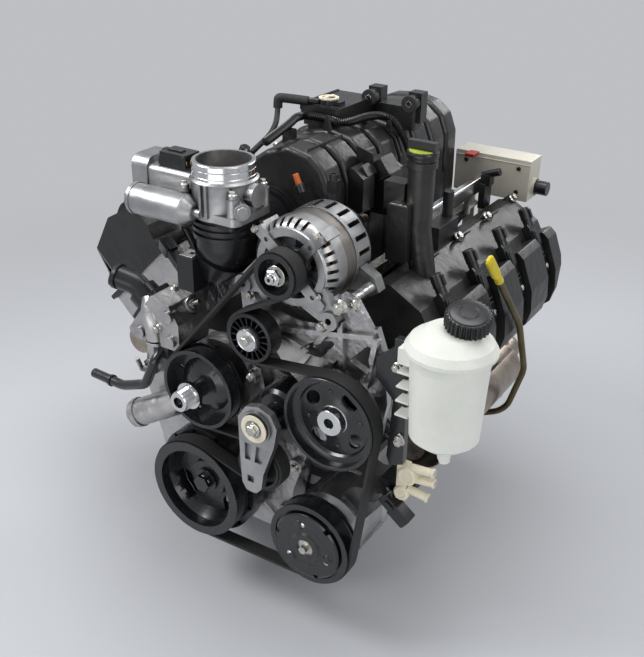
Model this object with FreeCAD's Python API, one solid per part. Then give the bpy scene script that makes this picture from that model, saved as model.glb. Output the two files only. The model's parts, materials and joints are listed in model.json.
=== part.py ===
import FreeCAD, Part
import math
import os

V = FreeCAD.Vector

# Complete 90 degree pushrod V8, dressed with its front accessory drive.
# Frame: origin on the crankshaft axis at the rear flange face, +Y along the crank to the rear,
# +Z up, +X to the engine's left. All lengths are in millimetres.

# Running and assembly clearances
SHAFT_FIT = 0.05
BELT_GAP = 0.3
LIFT_GAP = 0.3

# Cylinder block and crank train
BORE_R = 49.75
BORE_PITCH = 113.3
STROKE = 91.0
BANK_ANGLE = 45.0
BANK_STAGGER = 24.0
FIRST_BORE_Y = -435.0
DECK_HEIGHT = 235.0
DECK_HALF = 75.0
BLOCK_FRONT = -512.0
BLOCK_REAR = -16.0
FIRST_MAIN_Y = -480.0
BULKHEAD = 24.0
CRANKCASE_R = 90.0
SKIRT_HALF = 128.0
RAIL_HALF = 142.0
RAIL_Z = -88.0
RAIL_THICK = 14.0
MAIN_R = 32.5
PIN_R = 27.0
WEB_THICK = 20.0
COUNTERWEIGHT_R = 78.0
FLANGE_R = 45.0
FLANGE_THICK = 14.0
FLANGE_BOLT_PCD = 70.0
FLANGE_BOLT_R = 5.5
FLANGE_BOLTS = 8
PILOT_R = 12.0
PILOT_DEPTH = 24.0
SNOUT_R = 19.0
PISTON_GAP = 8.0
CAM_R = 27.0
PAD_X = 150.0
PAD_Y = -290.0
PAD_Z = -10.0
PAD_SPAN_Y = 70.0
PAD_SPAN_Z = 50.0
PAD_BOLT_R = 5.0
PAD_BOLT_DEPTH = 19.0
BELL_BOLT_DEPTH = 22.0

# Timing drive: one chain pitch sets both sprockets and the height of the camshaft
CHAIN_PITCH = 9.525
CRANK_TEETH = 20
CAM_TEETH = 40
CHAIN_LINKS = 62
CHAIN_WIDTH = 12.0
CHAIN_HALF_DEPTH = 4.0
SPROCKET_Y = -536.0

# Cylinder heads and covers, in the bank frame (across, up the bore)
HEAD_TOP = 365.0
HEAD_IN = 88.0
HEAD_OUT = 84.0
HEAD_OVERHANG = 54.0
PORT_UP = 310.0
EXHAUST_UP = 300.0
COVER_WALL = 4.0
COIL_HALF = 14.0
COIL_STEM_R = 11.0

# Front cover and water pump
COVER_FRONT = -556.0
COVER_SHELL = 6.0
COVER_TOP = 228.0
PUMP_X = 17.4
PUMP_Z = 196.7
PUMP_FRONT = -598.0
PUMP_SHAFT_R = 8.0
PUMP_INLET_R = 24.0

# Accessory drive: pulley centres and rim radii in the plane of the belt
RIM_FRONT = -640.0
PULLEY_WIDTH = 32.0
BELT_FRONT = -636.0
BELT_WIDTH = 24.0
BELT_THICK = 4.4
GROOVE = 2.6
CRANK_RIM = 87.4
PUMP_RIM = 66.9
STEER_X = 254.7
STEER_Z = 218.6
STEER_RIM = 74.1
COMP_X = 225.5
COMP_Z = -10.8
COMP_RIM = 70.7
CLUTCH_GAP = 1.0
ALT_X = 166.2
ALT_Z = 426.1
ALT_RIM = 33.3
IDLER_X = 120.4
IDLER_Z = 317.5
IDLER_R = 38.1
TENS_X = 131.0
TENS_Z = 96.0
TENS_R = 38.0
IDLER_BORE_R = 10.0
PIVOT_X = 144.0
PIVOT_Z = 185.0
ARM_FRONT = -660.0
ARM_BACK = -644.0

# Alternator
ALT_BODY_R = 69.0
ALT_FRONT = -600.0
ALT_STATOR_FRONT = -560.0
ALT_STATOR_REAR = -534.0
ALT_REAR = -484.0
ALT_SHAFT_R = 8.5
ALT_WALL = 4.0
ALT_EAR_FRONT = -524.0
ALT_LUG_FRONT = -604.0
ALT_LUG_REAR = -586.3

# Intake
RUNNER_WIDTH = 58.0
ARCHES = 8
ARCH_FRONT = -462.0
ARCH_WIDTH = 50.0
ARCH_HALF = 143.0
ARCH_ROUND = 9.0
LID_TOP = 575.0
BARREL_FRONT = -462.0
BARREL_REAR = -22.0
INTAKE_WALL = 4.0
THROTTLE_X = 40.0
THROTTLE_Y = -581.0
THROTTLE_TOP = 556.0
THROTTLE_BASE = 476.0
THROTTLE_BORE_R = 40.0
THROTTLE_LIP_R = 46.0
PLATE_Z = 520.0
PLATE_SHAFT_R = 5.0
MOTOR_R = 23.0
MOTOR_OFFSET = 50.0
NECK_R = 45.0
NECK_Z = 430.0

# Fluid reservoir, dipstick and filler
RES_X = 426.0
RES_Y = -619.0
RES_R = 60.0
RES_FOOT_R = 47.0
RES_RIM_Z = 389.0
RES_BOTTOM = 246.0
RES_WALL = 3.0
CAP_X = 441.0
CAP_Y = -610.0
CAP_Z = 423.0
CAP_R = 28.5
CAP_TILT = 15.0
FILL_X = 262.0
FILL_FOOT_X = 276.0
FILL_Y = -403.0
FILL_TOP = 560.0
FILL_R = 20.0

# Values that follow from the ones above
SIN = math.sin(math.radians(BANK_ANGLE))
COS = math.cos(math.radians(BANK_ANGLE))
PISTON_HEIGHT = DECK_HEIGHT - STROKE - COUNTERWEIGHT_R - PISTON_GAP
THROW = STROKE / 2
CRANK_SPROCKET_R = CHAIN_PITCH / (2 * math.sin(math.pi / CRANK_TEETH))
CAM_SPROCKET_R = CHAIN_PITCH / (2 * math.sin(math.pi / CAM_TEETH))
HEAD_FRONT = FIRST_BORE_Y - HEAD_OVERHANG
HEAD_REAR = FIRST_BORE_Y + 3 * BORE_PITCH + HEAD_OVERHANG
BELT_REAR = BELT_FRONT + BELT_WIDTH
RIM_REAR = RIM_FRONT + PULLEY_WIDTH


def chain_centre_distance():
    """Centre distance at which a whole number of links closes round both sprockets."""
    half_teeth = (CRANK_TEETH + CAM_TEETH) / 2
    spread = ((CAM_TEETH - CRANK_TEETH) / (2 * math.pi)) ** 2
    rest = (CHAIN_LINKS - half_teeth) / 2
    return CHAIN_PITCH * (rest + math.sqrt(rest * rest - 2 * spread)) / 2


CAM_Z = chain_centre_distance()
RAIL_X = (HEAD_TOP + 22) * SIN - 118 * COS
RAIL_TOP_Z = (HEAD_TOP + 22) * COS + 118 * SIN


# Basic solids

def box(x0, x1, y0, y1, z0, z1):
    return Part.makeBox(x1 - x0, y1 - y0, z1 - z0, V(x0, y0, z0))


def rod(radius, start, end):
    a = V(*start)
    b = V(*end)
    return Part.makeCylinder(radius, (b - a).Length, a, b - a)


def disc(radius, x, z, y0, y1):
    return Part.makeCylinder(radius, y1 - y0, V(x, y0, z), V(0, 1, 0))


def post(radius, x, y, z0, z1):
    return Part.makeCylinder(radius, z1 - z0, V(x, y, z0))


def face_of(points):
    return Part.Face(Part.makePolygon(points + [points[0]]))


def slab(points, y0, y1, radius=0):
    """Outline in X and Z, extruded along Y, with its long edges rounded."""
    solid = face_of([V(x, y0, z) for x, z in points]).extrude(V(0, y1 - y0, 0))
    if not radius:
        return solid
    return solid.makeFillet(radius, [e for e in solid.Edges if is_along(e, V(0, 1, 0))])


def plate(points, z0, z1, radius=0):
    """Outline in X and Y, extruded along Z."""
    solid = face_of([V(x, y, z0) for x, y in points]).extrude(V(0, 0, z1 - z0))
    if not radius:
        return solid
    return solid.makeFillet(radius, [e for e in solid.Edges if is_along(e, V(0, 0, 1))])


def is_along(edge, direction):
    if edge.Curve.TypeId != "Part::GeomLine":
        return False
    a, b = (v.Point for v in edge.Vertexes)
    return abs((b - a).normalize().dot(direction)) > 0.999


def rect(x0, x1, z0, z1):
    return [(x0, z0), (x1, z0), (x1, z1), (x0, z1)]


def turned(profile, x, z):
    """Closed outline of (radius, y), turned about an axis along Y through (x, z)."""
    face = face_of([V(x + r, y, z) for r, y in profile])
    return face.revolve(V(x, 0, z), V(0, 1, 0), 360)


def turned_up(profile, x, y):
    """Closed outline of (radius, z), turned about an upright axis through (x, y)."""
    face = face_of([V(x + r, y, z) for r, z in profile])
    return face.revolve(V(x, y, 0), V(0, 0, 1), 360)


def join(pieces):
    solid = pieces[0].fuse(list(pieces[1:])) if len(pieces) > 1 else pieces[0]
    return solid.removeSplitter()


def cut(solid, tools):
    return solid.cut(list(tools)).removeSplitter()


def ring_of(solid, count, x, z, start=0.0):
    """Copies of a solid, evenly spaced about an axis along Y."""
    copies = []
    for index in range(count):
        copy = solid.copy()
        copy.rotate(V(x, 0, z), V(0, 1, 0), start + 360.0 * index / count)
        copies.append(copy)
    return copies


def bent_path(points, radii):
    """Wire of straight runs joined by tangent arcs at the inner points."""
    pts = [V(*p) for p in points]
    edges = []
    start = pts[0]
    for index in range(1, len(pts) - 1):
        before = (pts[index - 1] - pts[index]).normalize()
        after = (pts[index + 1] - pts[index]).normalize()
        half = before.getAngle(after) / 2
        radius = radii[index - 1] if isinstance(radii, list) else radii
        reach = radius / math.tan(half)
        arc_in = pts[index] + before * reach
        arc_out = pts[index] + after * reach
        centre = pts[index] + (before + after).normalize() * (radius / math.sin(half))
        middle = centre + (pts[index] - centre).normalize() * radius
        edges.append(Part.LineSegment(start, arc_in).toShape())
        edges.append(Part.Arc(arc_in, middle, arc_out).toShape())
        start = arc_out
    edges.append(Part.LineSegment(start, pts[-1]).toShape())
    return Part.Wire(edges)


def tube(points, radii, outer, inner=0.0):
    path = bent_path(points, radii)
    start = V(*points[0])
    direction = V(*points[1]) - start
    solid = swept_disc(path, outer, start, direction)
    if inner:
        solid = solid.cut(swept_disc(path, inner, start, direction))
    return solid


def swept_disc(path, radius, start, direction):
    profile = Part.Wire(Part.makeCircle(radius, start, direction))
    return path.makePipeShell([profile], True, False)


def hexagon(across, x, z, y0, y1):
    radius = across / math.sqrt(3)
    angles = [math.radians(60 * index) for index in range(6)]
    points = [(x + radius * math.cos(a), z + radius * math.sin(a)) for a in angles]
    return slab(points, y0, y1)


# Placing things on the two cylinder banks

def on_bank(solid, side):
    """Turns a solid from the bank frame (x across to the outside, z up the bore) onto its bank."""
    placed = solid.copy()
    placed.rotate(V(0, 0, 0), V(0, 1, 0), BANK_ANGLE)
    if side == "right":
        placed = placed.mirror(V(0, 0, 0), V(1, 0, 0))
        placed.translate(V(0, BANK_STAGGER, 0))
    return placed


def bank_point(across, up):
    return (up * SIN + across * COS, up * COS - across * SIN)


def bore_ys():
    return [FIRST_BORE_Y + index * BORE_PITCH for index in range(4)]


def main_ys():
    return [FIRST_MAIN_Y + index * BORE_PITCH for index in range(5)]


# Block and bottom end

def make_block():
    valley = DECK_HEIGHT - DECK_HALF + 25
    deck_in = bank_point(-DECK_HALF, DECK_HEIGHT)
    deck_out = bank_point(DECK_HALF, DECK_HEIGHT)
    knee = bank_point(DECK_HALF, DECK_HEIGHT - 115)
    valley_x = deck_in[0] - (deck_in[1] - valley)
    half = [(valley_x, valley), deck_in, deck_out, knee, (SKIRT_HALF, knee[1] - 22),
            (SKIRT_HALF, RAIL_Z + RAIL_THICK), (RAIL_HALF, RAIL_Z + RAIL_THICK), (RAIL_HALF, RAIL_Z)]
    outline = half + [(-x, z) for x, z in reversed(half)]
    block = slab(outline, BLOCK_FRONT, BLOCK_REAR)
    adds = [block, bell_flange()]
    for side in (-1, 1):
        adds += side_ribs(side)
        adds.append(mount_pad(side))
    block = join(adds)
    cuts = []
    for side in ("left", "right"):
        for y in bore_ys():
            cuts.append(on_bank(post(BORE_R + SHAFT_FIT, 0, y, CRANKCASE_R - 25, DECK_HEIGHT + 1), side))
    mains = main_ys()
    for front, rear in zip(mains[:-1], mains[1:]):
        y0 = front + BULKHEAD / 2
        y1 = rear - BULKHEAD / 2
        cuts.append(disc(CRANKCASE_R, 0, 0, y0, y1))
        cuts.append(box(-CRANKCASE_R, CRANKCASE_R, y0, y1, RAIL_Z - 1, 0))
    cuts.append(box(-CRANKCASE_R, CRANKCASE_R, mains[0], mains[-1], RAIL_Z - 1, -58))
    cuts.append(disc(MAIN_R + SHAFT_FIT, 0, 0, BLOCK_FRONT - 1, 1))
    cuts.append(disc(CAM_R + SHAFT_FIT, 0, CAM_Z, BLOCK_FRONT - 1, BLOCK_REAR + 1))
    cuts += bell_holes()
    for side in (-1, 1):
        cuts += pad_holes(side)
    return cut(block, cuts)


def bell_flange():
    points = [(-150, -60), (150, -60), (185, 20), (175, 110), (110, 190), (-110, 190), (-175, 110), (-185, 20)]
    return slab(points, BLOCK_REAR - 14, BLOCK_REAR, 20)


def bell_holes():
    """Six bolt holes, and the recess that the crank flange turns in."""
    holes = [disc(6, side * x, z, BLOCK_REAR - BELL_BOLT_DEPTH, BLOCK_REAR + 1)
             for side in (-1, 1) for x, z in ((160, 0), (163, 84), (95, 172))]
    return holes + [disc(FLANGE_R + 1, 0, 0, BLOCK_REAR - 3, BLOCK_REAR + 1)]


def side_ribs(side):
    ribs = []
    for y in main_ys()[1:-1]:
        x0, x1 = sorted((side * (SKIRT_HALF - 2), side * (SKIRT_HALF + 8)))
        ribs.append(box(x0, x1, y - 5, y + 5, RAIL_Z + RAIL_THICK, 12))
    return ribs


def pad_y(side):
    """The right pad stands back by the stagger of its bank."""
    return PAD_Y if side > 0 else PAD_Y + BANK_STAGGER


def mount_pad(side):
    x0, x1 = sorted((side * (SKIRT_HALF - 4), side * PAD_X))
    half_y = PAD_SPAN_Y / 2 + 12
    half_z = PAD_SPAN_Z / 2 + 12
    return box(x0, x1, pad_y(side) - half_y, pad_y(side) + half_y, PAD_Z - half_z, PAD_Z + half_z)


def pad_holes(side):
    holes = []
    for sy in (-1, 1):
        for sz in (-1, 1):
            y = pad_y(side) + sy * PAD_SPAN_Y / 2
            z = PAD_Z + sz * PAD_SPAN_Z / 2
            holes.append(rod(PAD_BOLT_R, (side * (PAD_X + 1), y, z), (side * (PAD_X - PAD_BOLT_DEPTH), y, z)))
    return holes


def make_crankshaft():
    mains = main_ys()
    parts = [disc(MAIN_R, 0, 0, BLOCK_FRONT - 2, -FLANGE_THICK),
             disc(FLANGE_R, 0, 0, -FLANGE_THICK, 0),
             disc(SNOUT_R, 0, 0, RIM_REAR + 18, BLOCK_FRONT)]
    core_cuts = []
    for index, angle in enumerate((0, 90, 270, 180)):
        y0 = mains[index] + BULKHEAD / 2 + 1
        y1 = mains[index + 1] - BULKHEAD / 2 - 1
        parts += crank_throw(y0, y1, angle)
        core_cuts.append(disc(MAIN_R + 1, 0, 0, y0 + WEB_THICK, y1 - WEB_THICK).cut(
            crank_pin(y0, y1, angle)))
    shaft = cut(join(parts[:3]), core_cuts)
    shaft = join([shaft] + parts[3:])
    cuts = [disc(PILOT_R, 0, 0, -PILOT_DEPTH, 1)]
    cuts += ring_of(disc(FLANGE_BOLT_R, FLANGE_BOLT_PCD / 2, 0, -FLANGE_THICK - 1, 1), FLANGE_BOLTS, 0, 0)
    return cut(shaft, cuts)


def crank_pin(y0, y1, angle):
    pin = disc(PIN_R, 0, THROW, y0 + WEB_THICK / 2, y1 - WEB_THICK / 2)
    pin.rotate(V(0, 0, 0), V(0, 1, 0), angle)
    return pin


def crank_throw(y0, y1, angle):
    pieces = [crank_pin(y0, y1, angle)]
    for start in (y0, y1 - WEB_THICK):
        weight = disc(COUNTERWEIGHT_R, 0, 0, start, start + WEB_THICK)
        weight = weight.common(box(-90, 90, start - 1, start + WEB_THICK + 1, -90, -8))
        cheek = slab([(-34, -8), (34, -8), (30, THROW), (18, THROW + 31), (-18, THROW + 31), (-30, THROW)],
                     start, start + WEB_THICK)
        web = join([weight, cheek])
        web.rotate(V(0, 0, 0), V(0, 1, 0), angle)
        pieces.append(web)
    return pieces


def piston_lift(index, side):
    """Height of the crown below the deck for the rest position of the crank."""
    pin_angle = (0, 90, 270, 180)[index]
    bank = BANK_ANGLE if side == "left" else -BANK_ANGLE
    return THROW * (1 - math.cos(math.radians(pin_angle - bank)))


def make_pistons():
    pistons = []
    for side in ("left", "right"):
        for index, y in enumerate(bore_ys()):
            crown = DECK_HEIGHT - 2 - piston_lift(index, side)
            body = post(BORE_R, 0, y, crown - PISTON_HEIGHT, crown)
            hollow = post(BORE_R - 6, 0, y, crown - PISTON_HEIGHT - 1, crown - PISTON_HEIGHT * 0.2)
            ring = crown - PISTON_HEIGHT * 0.15
            groove = post(BORE_R + 1, 0, y, ring, ring + 2).cut(post(BORE_R - 3, 0, y, ring - 1, ring + 3))
            pin = Part.makeCylinder(PISTON_HEIGHT * 0.19, 2 * BORE_R - 9,
                                    V(0, y - BORE_R + 4.5, crown - PISTON_HEIGHT * 0.59), V(0, 1, 0))
            pistons.append(on_bank(join([cut(body, [hollow, groove]), pin]), side))
    return Part.makeCompound(pistons)


def make_camshaft():
    parts = [disc(CAM_R - 8, 0, CAM_Z, SPROCKET_Y - CHAIN_WIDTH / 2 - 8, BLOCK_REAR - 6)]
    for y in main_ys():
        y1 = min(y + 10, BLOCK_REAR - 2)
        parts.append(disc(CAM_R, 0, CAM_Z, y - 10, y1))
    for bore, y in enumerate(bore_ys()):
        for lobe, offset in enumerate((-30, -6, 24, 44)):
            turn = 90 * bore + 55 * lobe
            base = disc(CAM_R - 6, 0, CAM_Z, y + offset - 7, y + offset + 7)
            nose = disc(9, 0, CAM_Z + 16, y + offset - 7, y + offset + 7)
            nose.rotate(V(0, 0, CAM_Z), V(0, 1, 0), turn)
            parts += [base, nose]
    return join(parts)


def sprocket(teeth, pitch_r, z, hub_r, bore_r):
    """Toothed wheel whose root stays just inside the chain."""
    outer = pitch_r - CHAIN_HALF_DEPTH - LIFT_GAP
    points = []
    for index in range(teeth):
        for step, radius in ((0.0, outer), (0.45, outer), (0.55, outer - 3), (0.9, outer - 3)):
            a = 2 * math.pi * (index + step) / teeth
            points.append((radius * math.sin(a), z + radius * math.cos(a)))
    wheel = slab(points, SPROCKET_Y - CHAIN_WIDTH / 2, SPROCKET_Y + CHAIN_WIDTH / 2)
    hub = disc(hub_r, 0, z, SPROCKET_Y, BLOCK_FRONT - 4)
    return cut(join([wheel, hub]), [disc(bore_r, 0, z, SPROCKET_Y - 20, BLOCK_FRONT)])


def make_cam_sprocket():
    wheel = sprocket(CAM_TEETH, CAM_SPROCKET_R, CAM_Z, 30, CAM_R - 8)
    window = disc(11, 0, CAM_Z + 39, SPROCKET_Y - 20, BLOCK_FRONT)
    return cut(wheel, ring_of(window, 6, 0, CAM_Z))


def open_belt(circles, inner_add, outer_add, y0, y1):
    """Band round a row of circles (x, z, radius, turn), turn +1 inside the loop and -1 outside."""
    def loop(offset):
        points = []
        count = len(circles)
        for index in range(count):
            x0, z0, r0, t0 = circles[index]
            x1, z1, r1, t1 = circles[(index + 1) % count]
            points.append(tangent(x0, z0, t0 * (r0 + t0 * offset), x1, z1, t1 * (r1 + t1 * offset)))
        edges = []
        for index in range(count):
            x, z, r, t = circles[index]
            arrive = points[index - 1][1]
            leave = points[index][0]
            edges.append(arc_on(x, z, r + t * offset, arrive, leave, t, y0))
            end = points[index][1]
            edges.append(Part.LineSegment(V(leave[0], y0, leave[1]), V(end[0], y0, end[1])).toShape())
        return Part.Wire(edges)
    band = Part.Face([loop(outer_add), loop(inner_add)])
    band.validate()
    return band.extrude(V(0, y1 - y0, 0))


def tangent(x0, z0, r0, x1, z1, r1):
    """Tangent line between two circles that are passed counterclockwise (r > 0) or clockwise (r < 0)."""
    dx = x1 - x0
    dz = z1 - z0
    length = math.hypot(dx, dz)
    base = math.atan2(dz, dx)
    swing = math.asin((r0 - r1) / length)
    a = base + swing - math.pi / 2
    return ((x0 + r0 * math.cos(a), z0 + r0 * math.sin(a)), (x1 + r1 * math.cos(a), z1 + r1 * math.sin(a)))


def arc_on(x, z, radius, start, end, turn, y):
    a0 = math.atan2(start[1] - z, start[0] - x)
    a1 = math.atan2(end[1] - z, end[0] - x)
    if turn > 0 and a1 < a0:
        a1 += 2 * math.pi
    if turn < 0 and a1 > a0:
        a1 -= 2 * math.pi
    am = (a0 + a1) / 2
    mid = V(x + radius * math.cos(am), y, z + radius * math.sin(am))
    return Part.Arc(V(start[0], y, start[1]), mid, V(end[0], y, end[1])).toShape()


def make_chain():
    circles = [(0, 0, CRANK_SPROCKET_R, 1), (0, CAM_Z, CAM_SPROCKET_R, 1)]
    y0 = SPROCKET_Y - CHAIN_WIDTH / 2
    y1 = SPROCKET_Y + CHAIN_WIDTH / 2
    return open_belt(circles, -CHAIN_HALF_DEPTH, CHAIN_HALF_DEPTH, y0, y1)


def make_belt():
    grooved = -GROOVE + BELT_GAP
    circles = [
        (0, 0, CRANK_RIM + grooved, 1),
        (COMP_X, COMP_Z, COMP_RIM + grooved, 1),
        (STEER_X, STEER_Z, STEER_RIM + grooved, 1),
        (IDLER_X, IDLER_Z, IDLER_R + BELT_GAP + BELT_THICK, -1),
        (ALT_X, ALT_Z, ALT_RIM + grooved, 1),
        (PUMP_X, PUMP_Z, PUMP_RIM + grooved, 1),
        (TENS_X, TENS_Z, TENS_R + BELT_GAP + BELT_THICK, -1),
    ]
    return open_belt(circles, 0, BELT_THICK, BELT_FRONT, BELT_REAR)


def make_oil_pan():
    shallow = box(-RAIL_HALF, RAIL_HALF, BLOCK_FRONT, BLOCK_REAR, RAIL_Z - 18, RAIL_Z - 2)
    tray = box(-SKIRT_HALF + 8, SKIRT_HALF - 8, BLOCK_FRONT + 8, BLOCK_REAR - 8, RAIL_Z - 45, RAIL_Z - 17)
    sump = slab([(-118, RAIL_Z - 44), (118, RAIL_Z - 44), (104, -205), (-104, -205)], -330, -150, 12)
    pan = join([shallow, tray, sump])
    inner = [box(-CRANKCASE_R, CRANKCASE_R, BLOCK_FRONT + 20, BLOCK_REAR - 20, RAIL_Z - 42, RAIL_Z),
             slab([(-114, RAIL_Z - 41), (114, RAIL_Z - 41), (100, -201), (-100, -201)], -326, -154)]
    plug = Part.makeCylinder(9, 8, V(0, -154, -190), V(0, 1, 0))
    return join([cut(pan, inner), plug])


def make_pan_gasket():
    ring = box(-RAIL_HALF, RAIL_HALF, BLOCK_FRONT, BLOCK_REAR, RAIL_Z - 2, RAIL_Z)
    return cut(ring, [box(-CRANKCASE_R, CRANKCASE_R, BLOCK_FRONT + 20, BLOCK_REAR - 20, RAIL_Z - 3, RAIL_Z + 1)])


# Heads and covers

def make_head(side):
    outline = [(-DECK_HALF, DECK_HEIGHT), (DECK_HALF, DECK_HEIGHT), (HEAD_OUT, DECK_HEIGHT + 27),
               (HEAD_OUT, HEAD_TOP), (-HEAD_IN, HEAD_TOP), (-HEAD_IN, DECK_HEIGHT + 35)]
    head = slab(outline, HEAD_FRONT, HEAD_REAR)
    cuts = []
    for y in bore_ys():
        chamber = Part.makeSphere(62, V(0, y, DECK_HEIGHT - 32))
        cuts.append(chamber)
        cuts.append(Part.makeCylinder(20, 60, V(-HEAD_IN - 1, y, PORT_UP), V(1, 0, -0.35)))
        cuts.append(Part.makeCylinder(18, 60, V(HEAD_OUT + 1, y, EXHAUST_UP), V(-1, 0, -0.2)))
    for x, up in ((-52, 285), (48, 285)):
        cuts.append(disc(13, x, up, HEAD_FRONT - 1, HEAD_FRONT + 5))
    return on_bank(cut(head, cuts), side)


COVER_PROFILE = [(-88, 0), (84, 0), (98, 14), (103, 44), (88, 66), (62, 86), (14, 100), (-26, 112), (-84, 96),
                 (-98, 72), (-97, 50), (-88, 24)]
ARCH_FALL = [[(24, 536), (-20, 506), (-60, 470), (-90, 430), (-96, 336)],
             [(24, 537), (-20, 511), (-62, 474), (-94, 430), (-100, 336)],
             [(20, 541), (-26, 518), (-70, 482), (-102, 430), (-108, 336)],
             [(20, 545), (-30, 524), (-76, 486), (-106, 430), (-112, 336)]]
COVER_PANEL = [(-12, 100), (-4, 126), (12, 127), (64, 104), (92, 80), (106, 56), (104, 36), (90, 40), (60, 76)]


def make_valve_cover(side):
    outer = [(x, HEAD_TOP + up) for x, up in COVER_PROFILE]
    cover = slab(outer, HEAD_FRONT - 4, HEAD_REAR + 4, 7)
    inner = [(x * 0.93, HEAD_TOP - 1 + up * 0.94) for x, up in COVER_PROFILE]
    hollow = slab(inner, HEAD_FRONT + COVER_WALL, HEAD_REAR - COVER_WALL)
    adds = [cover]
    panel = [(x, HEAD_TOP + up) for x, up in COVER_PANEL]
    for y in bore_ys():
        adds.append(slab(panel, y + COIL_HALF + 4, min(y + BORE_PITCH - COIL_HALF - 4, HEAD_REAR + 2), 4))
        adds.append(on_edge(-84, y + 52, 86, 9))
    adds.append(slab([(-94, HEAD_TOP), (90, HEAD_TOP), (90, HEAD_TOP + 8), (-94, HEAD_TOP + 8)],
                     HEAD_FRONT - 7, HEAD_REAR + 7))
    cover = join(adds).cut(hollow)
    cuts = [post(COIL_STEM_R + 2, -8, y, HEAD_TOP + 80, HEAD_TOP + 130) for y in bore_ys()]
    for end, step in ((HEAD_FRONT - 8, 1), (HEAD_REAR + 8, -1)):
        corner = [(40, end), (110, end), (110, end + step * 40), (92, end + step * 34)]
        cuts.append(plate(corner, HEAD_TOP + 8, HEAD_TOP + 140))
    return on_bank(cut(cover, cuts), side)


def on_edge(x, y, up, radius):
    """Round boss for one cover bolt, standing on the inner slope."""
    return post(radius, x, y, HEAD_TOP + up - 34, HEAD_TOP + up + 14)


def make_coils(side):
    coils = []
    bed = [(-30, 112.2), (-26, 112.2), (14, 100.2), (56, 88.2), (58, 96), (16, 113), (-24, 126), (-32, 126)]
    for y in bore_ys():
        body = slab([(x, HEAD_TOP + up) for x, up in bed], y - COIL_HALF, y + COIL_HALF, 2)
        stem = post(COIL_STEM_R, -8, y, HEAD_TOP + 84, HEAD_TOP + 112)
        plug = rod(8.5, (-27, y, HEAD_TOP + 121), (-58, y, HEAD_TOP + 131))
        coils.append(on_bank(join([body, stem, plug]), side))
    return Part.makeCompound(coils)


def make_exhaust(side):
    pieces = []
    cuts = []
    log_x = 140
    log_up = 282
    y0 = bore_ys()[0]
    y1 = bore_ys()[-1]
    pieces.append(Part.makeCylinder(27, y1 - y0 + 50, V(log_x, y0 - 25, log_up), V(0, 1, 0)))
    cuts.append(Part.makeCylinder(23, y1 - y0 + 42, V(log_x, y0 - 21, log_up), V(0, 1, 0)))
    for y in bore_ys():
        pieces.append(box(HEAD_OUT + 0.1, HEAD_OUT + 10, y - 36, y + 36, EXHAUST_UP - 30, EXHAUST_UP + 30))
        pieces.append(rod(23, (HEAD_OUT + 8, y, EXHAUST_UP - 2), (log_x, y, log_up)))
        cuts.append(rod(18, (HEAD_OUT - 1, y, EXHAUST_UP + 0.4), (log_x, y, log_up)))
    end_y = y1 + 25
    pieces.append(rod(27, (log_x, end_y, log_up), (log_x + 2, end_y - 2, log_up - 70)))
    pieces.append(rod(40, (log_x + 2, end_y - 2, log_up - 70), (log_x + 2, end_y - 2, log_up - 80)))
    pieces.append(Part.makeSphere(27, V(log_x, end_y, log_up)))
    cuts.append(rod(23, (log_x, end_y, log_up), (log_x + 2, end_y - 2, log_up - 81)))
    return on_bank(cut(join(pieces), cuts), side)


def make_heat_shield():
    y0 = bore_ys()[0] - 5
    y1 = bore_ys()[-1] - 30
    shell = Part.makeCylinder(47, y1 - y0, V(148, y0, 284), V(0, 1, 0))
    hollow = Part.makeCylinder(45.4, y1 - y0 + 2, V(148, y0 - 1, 284), V(0, 1, 0))
    keep = box(142, 260, y0 - 1, y1 + 1, 200, 400)
    shield = shell.cut(hollow).common(keep)
    feet = [rod(7, (142, y, 284), (196, y, 284)) for y in (y0 + 60, y1 - 60)]
    log = Part.makeCylinder(27, 600, V(140, y0 - 100, 282), V(0, 1, 0))
    return on_bank(join([shield] + [foot.cut(log) for foot in feet]), "left")


# Front cover, pump and coolant housings

def make_timing_cover():
    outline = [(-124, RAIL_Z), (124, RAIL_Z), (142, 10), (180, 120), (182, 205), (90, COVER_TOP),
               (-90, COVER_TOP), (-160, 205), (-172, 120), (-142, 10)]
    inner = [(-108, RAIL_Z + 10), (108, RAIL_Z + 10), (120, 20), (128, 118), (84, COVER_TOP - 9),
             (-84, COVER_TOP - 9), (-128, 118), (-120, 20)]
    cover = slab(outline, COVER_FRONT, BLOCK_FRONT, 10)
    seal = disc(46, 0, 0, COVER_FRONT - 6, COVER_FRONT + 2)
    ribs = [slab([(-110, -60), (-104, -66), (-58, -30), (-62, -24)], COVER_FRONT - 5, COVER_FRONT + 2),
            slab([(110, -60), (104, -66), (58, -30), (62, -24)], COVER_FRONT - 5, COVER_FRONT + 2)]
    bosses = [disc(13, x, z, COVER_FRONT - 10, COVER_FRONT + 2)
              for x, z in ((-128, -40), (128, -40), (-146, 60), (-150, 150), (150, 60))]
    hollow = slab(inner, COVER_FRONT + COVER_SHELL, BLOCK_FRONT + 1, 8)
    cover = join([cover, seal] + ribs + bosses)
    return cut(cover, [hollow, disc(SNOUT_R + 14, 0, 0, COVER_FRONT - 8, COVER_FRONT + 8)])


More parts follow.
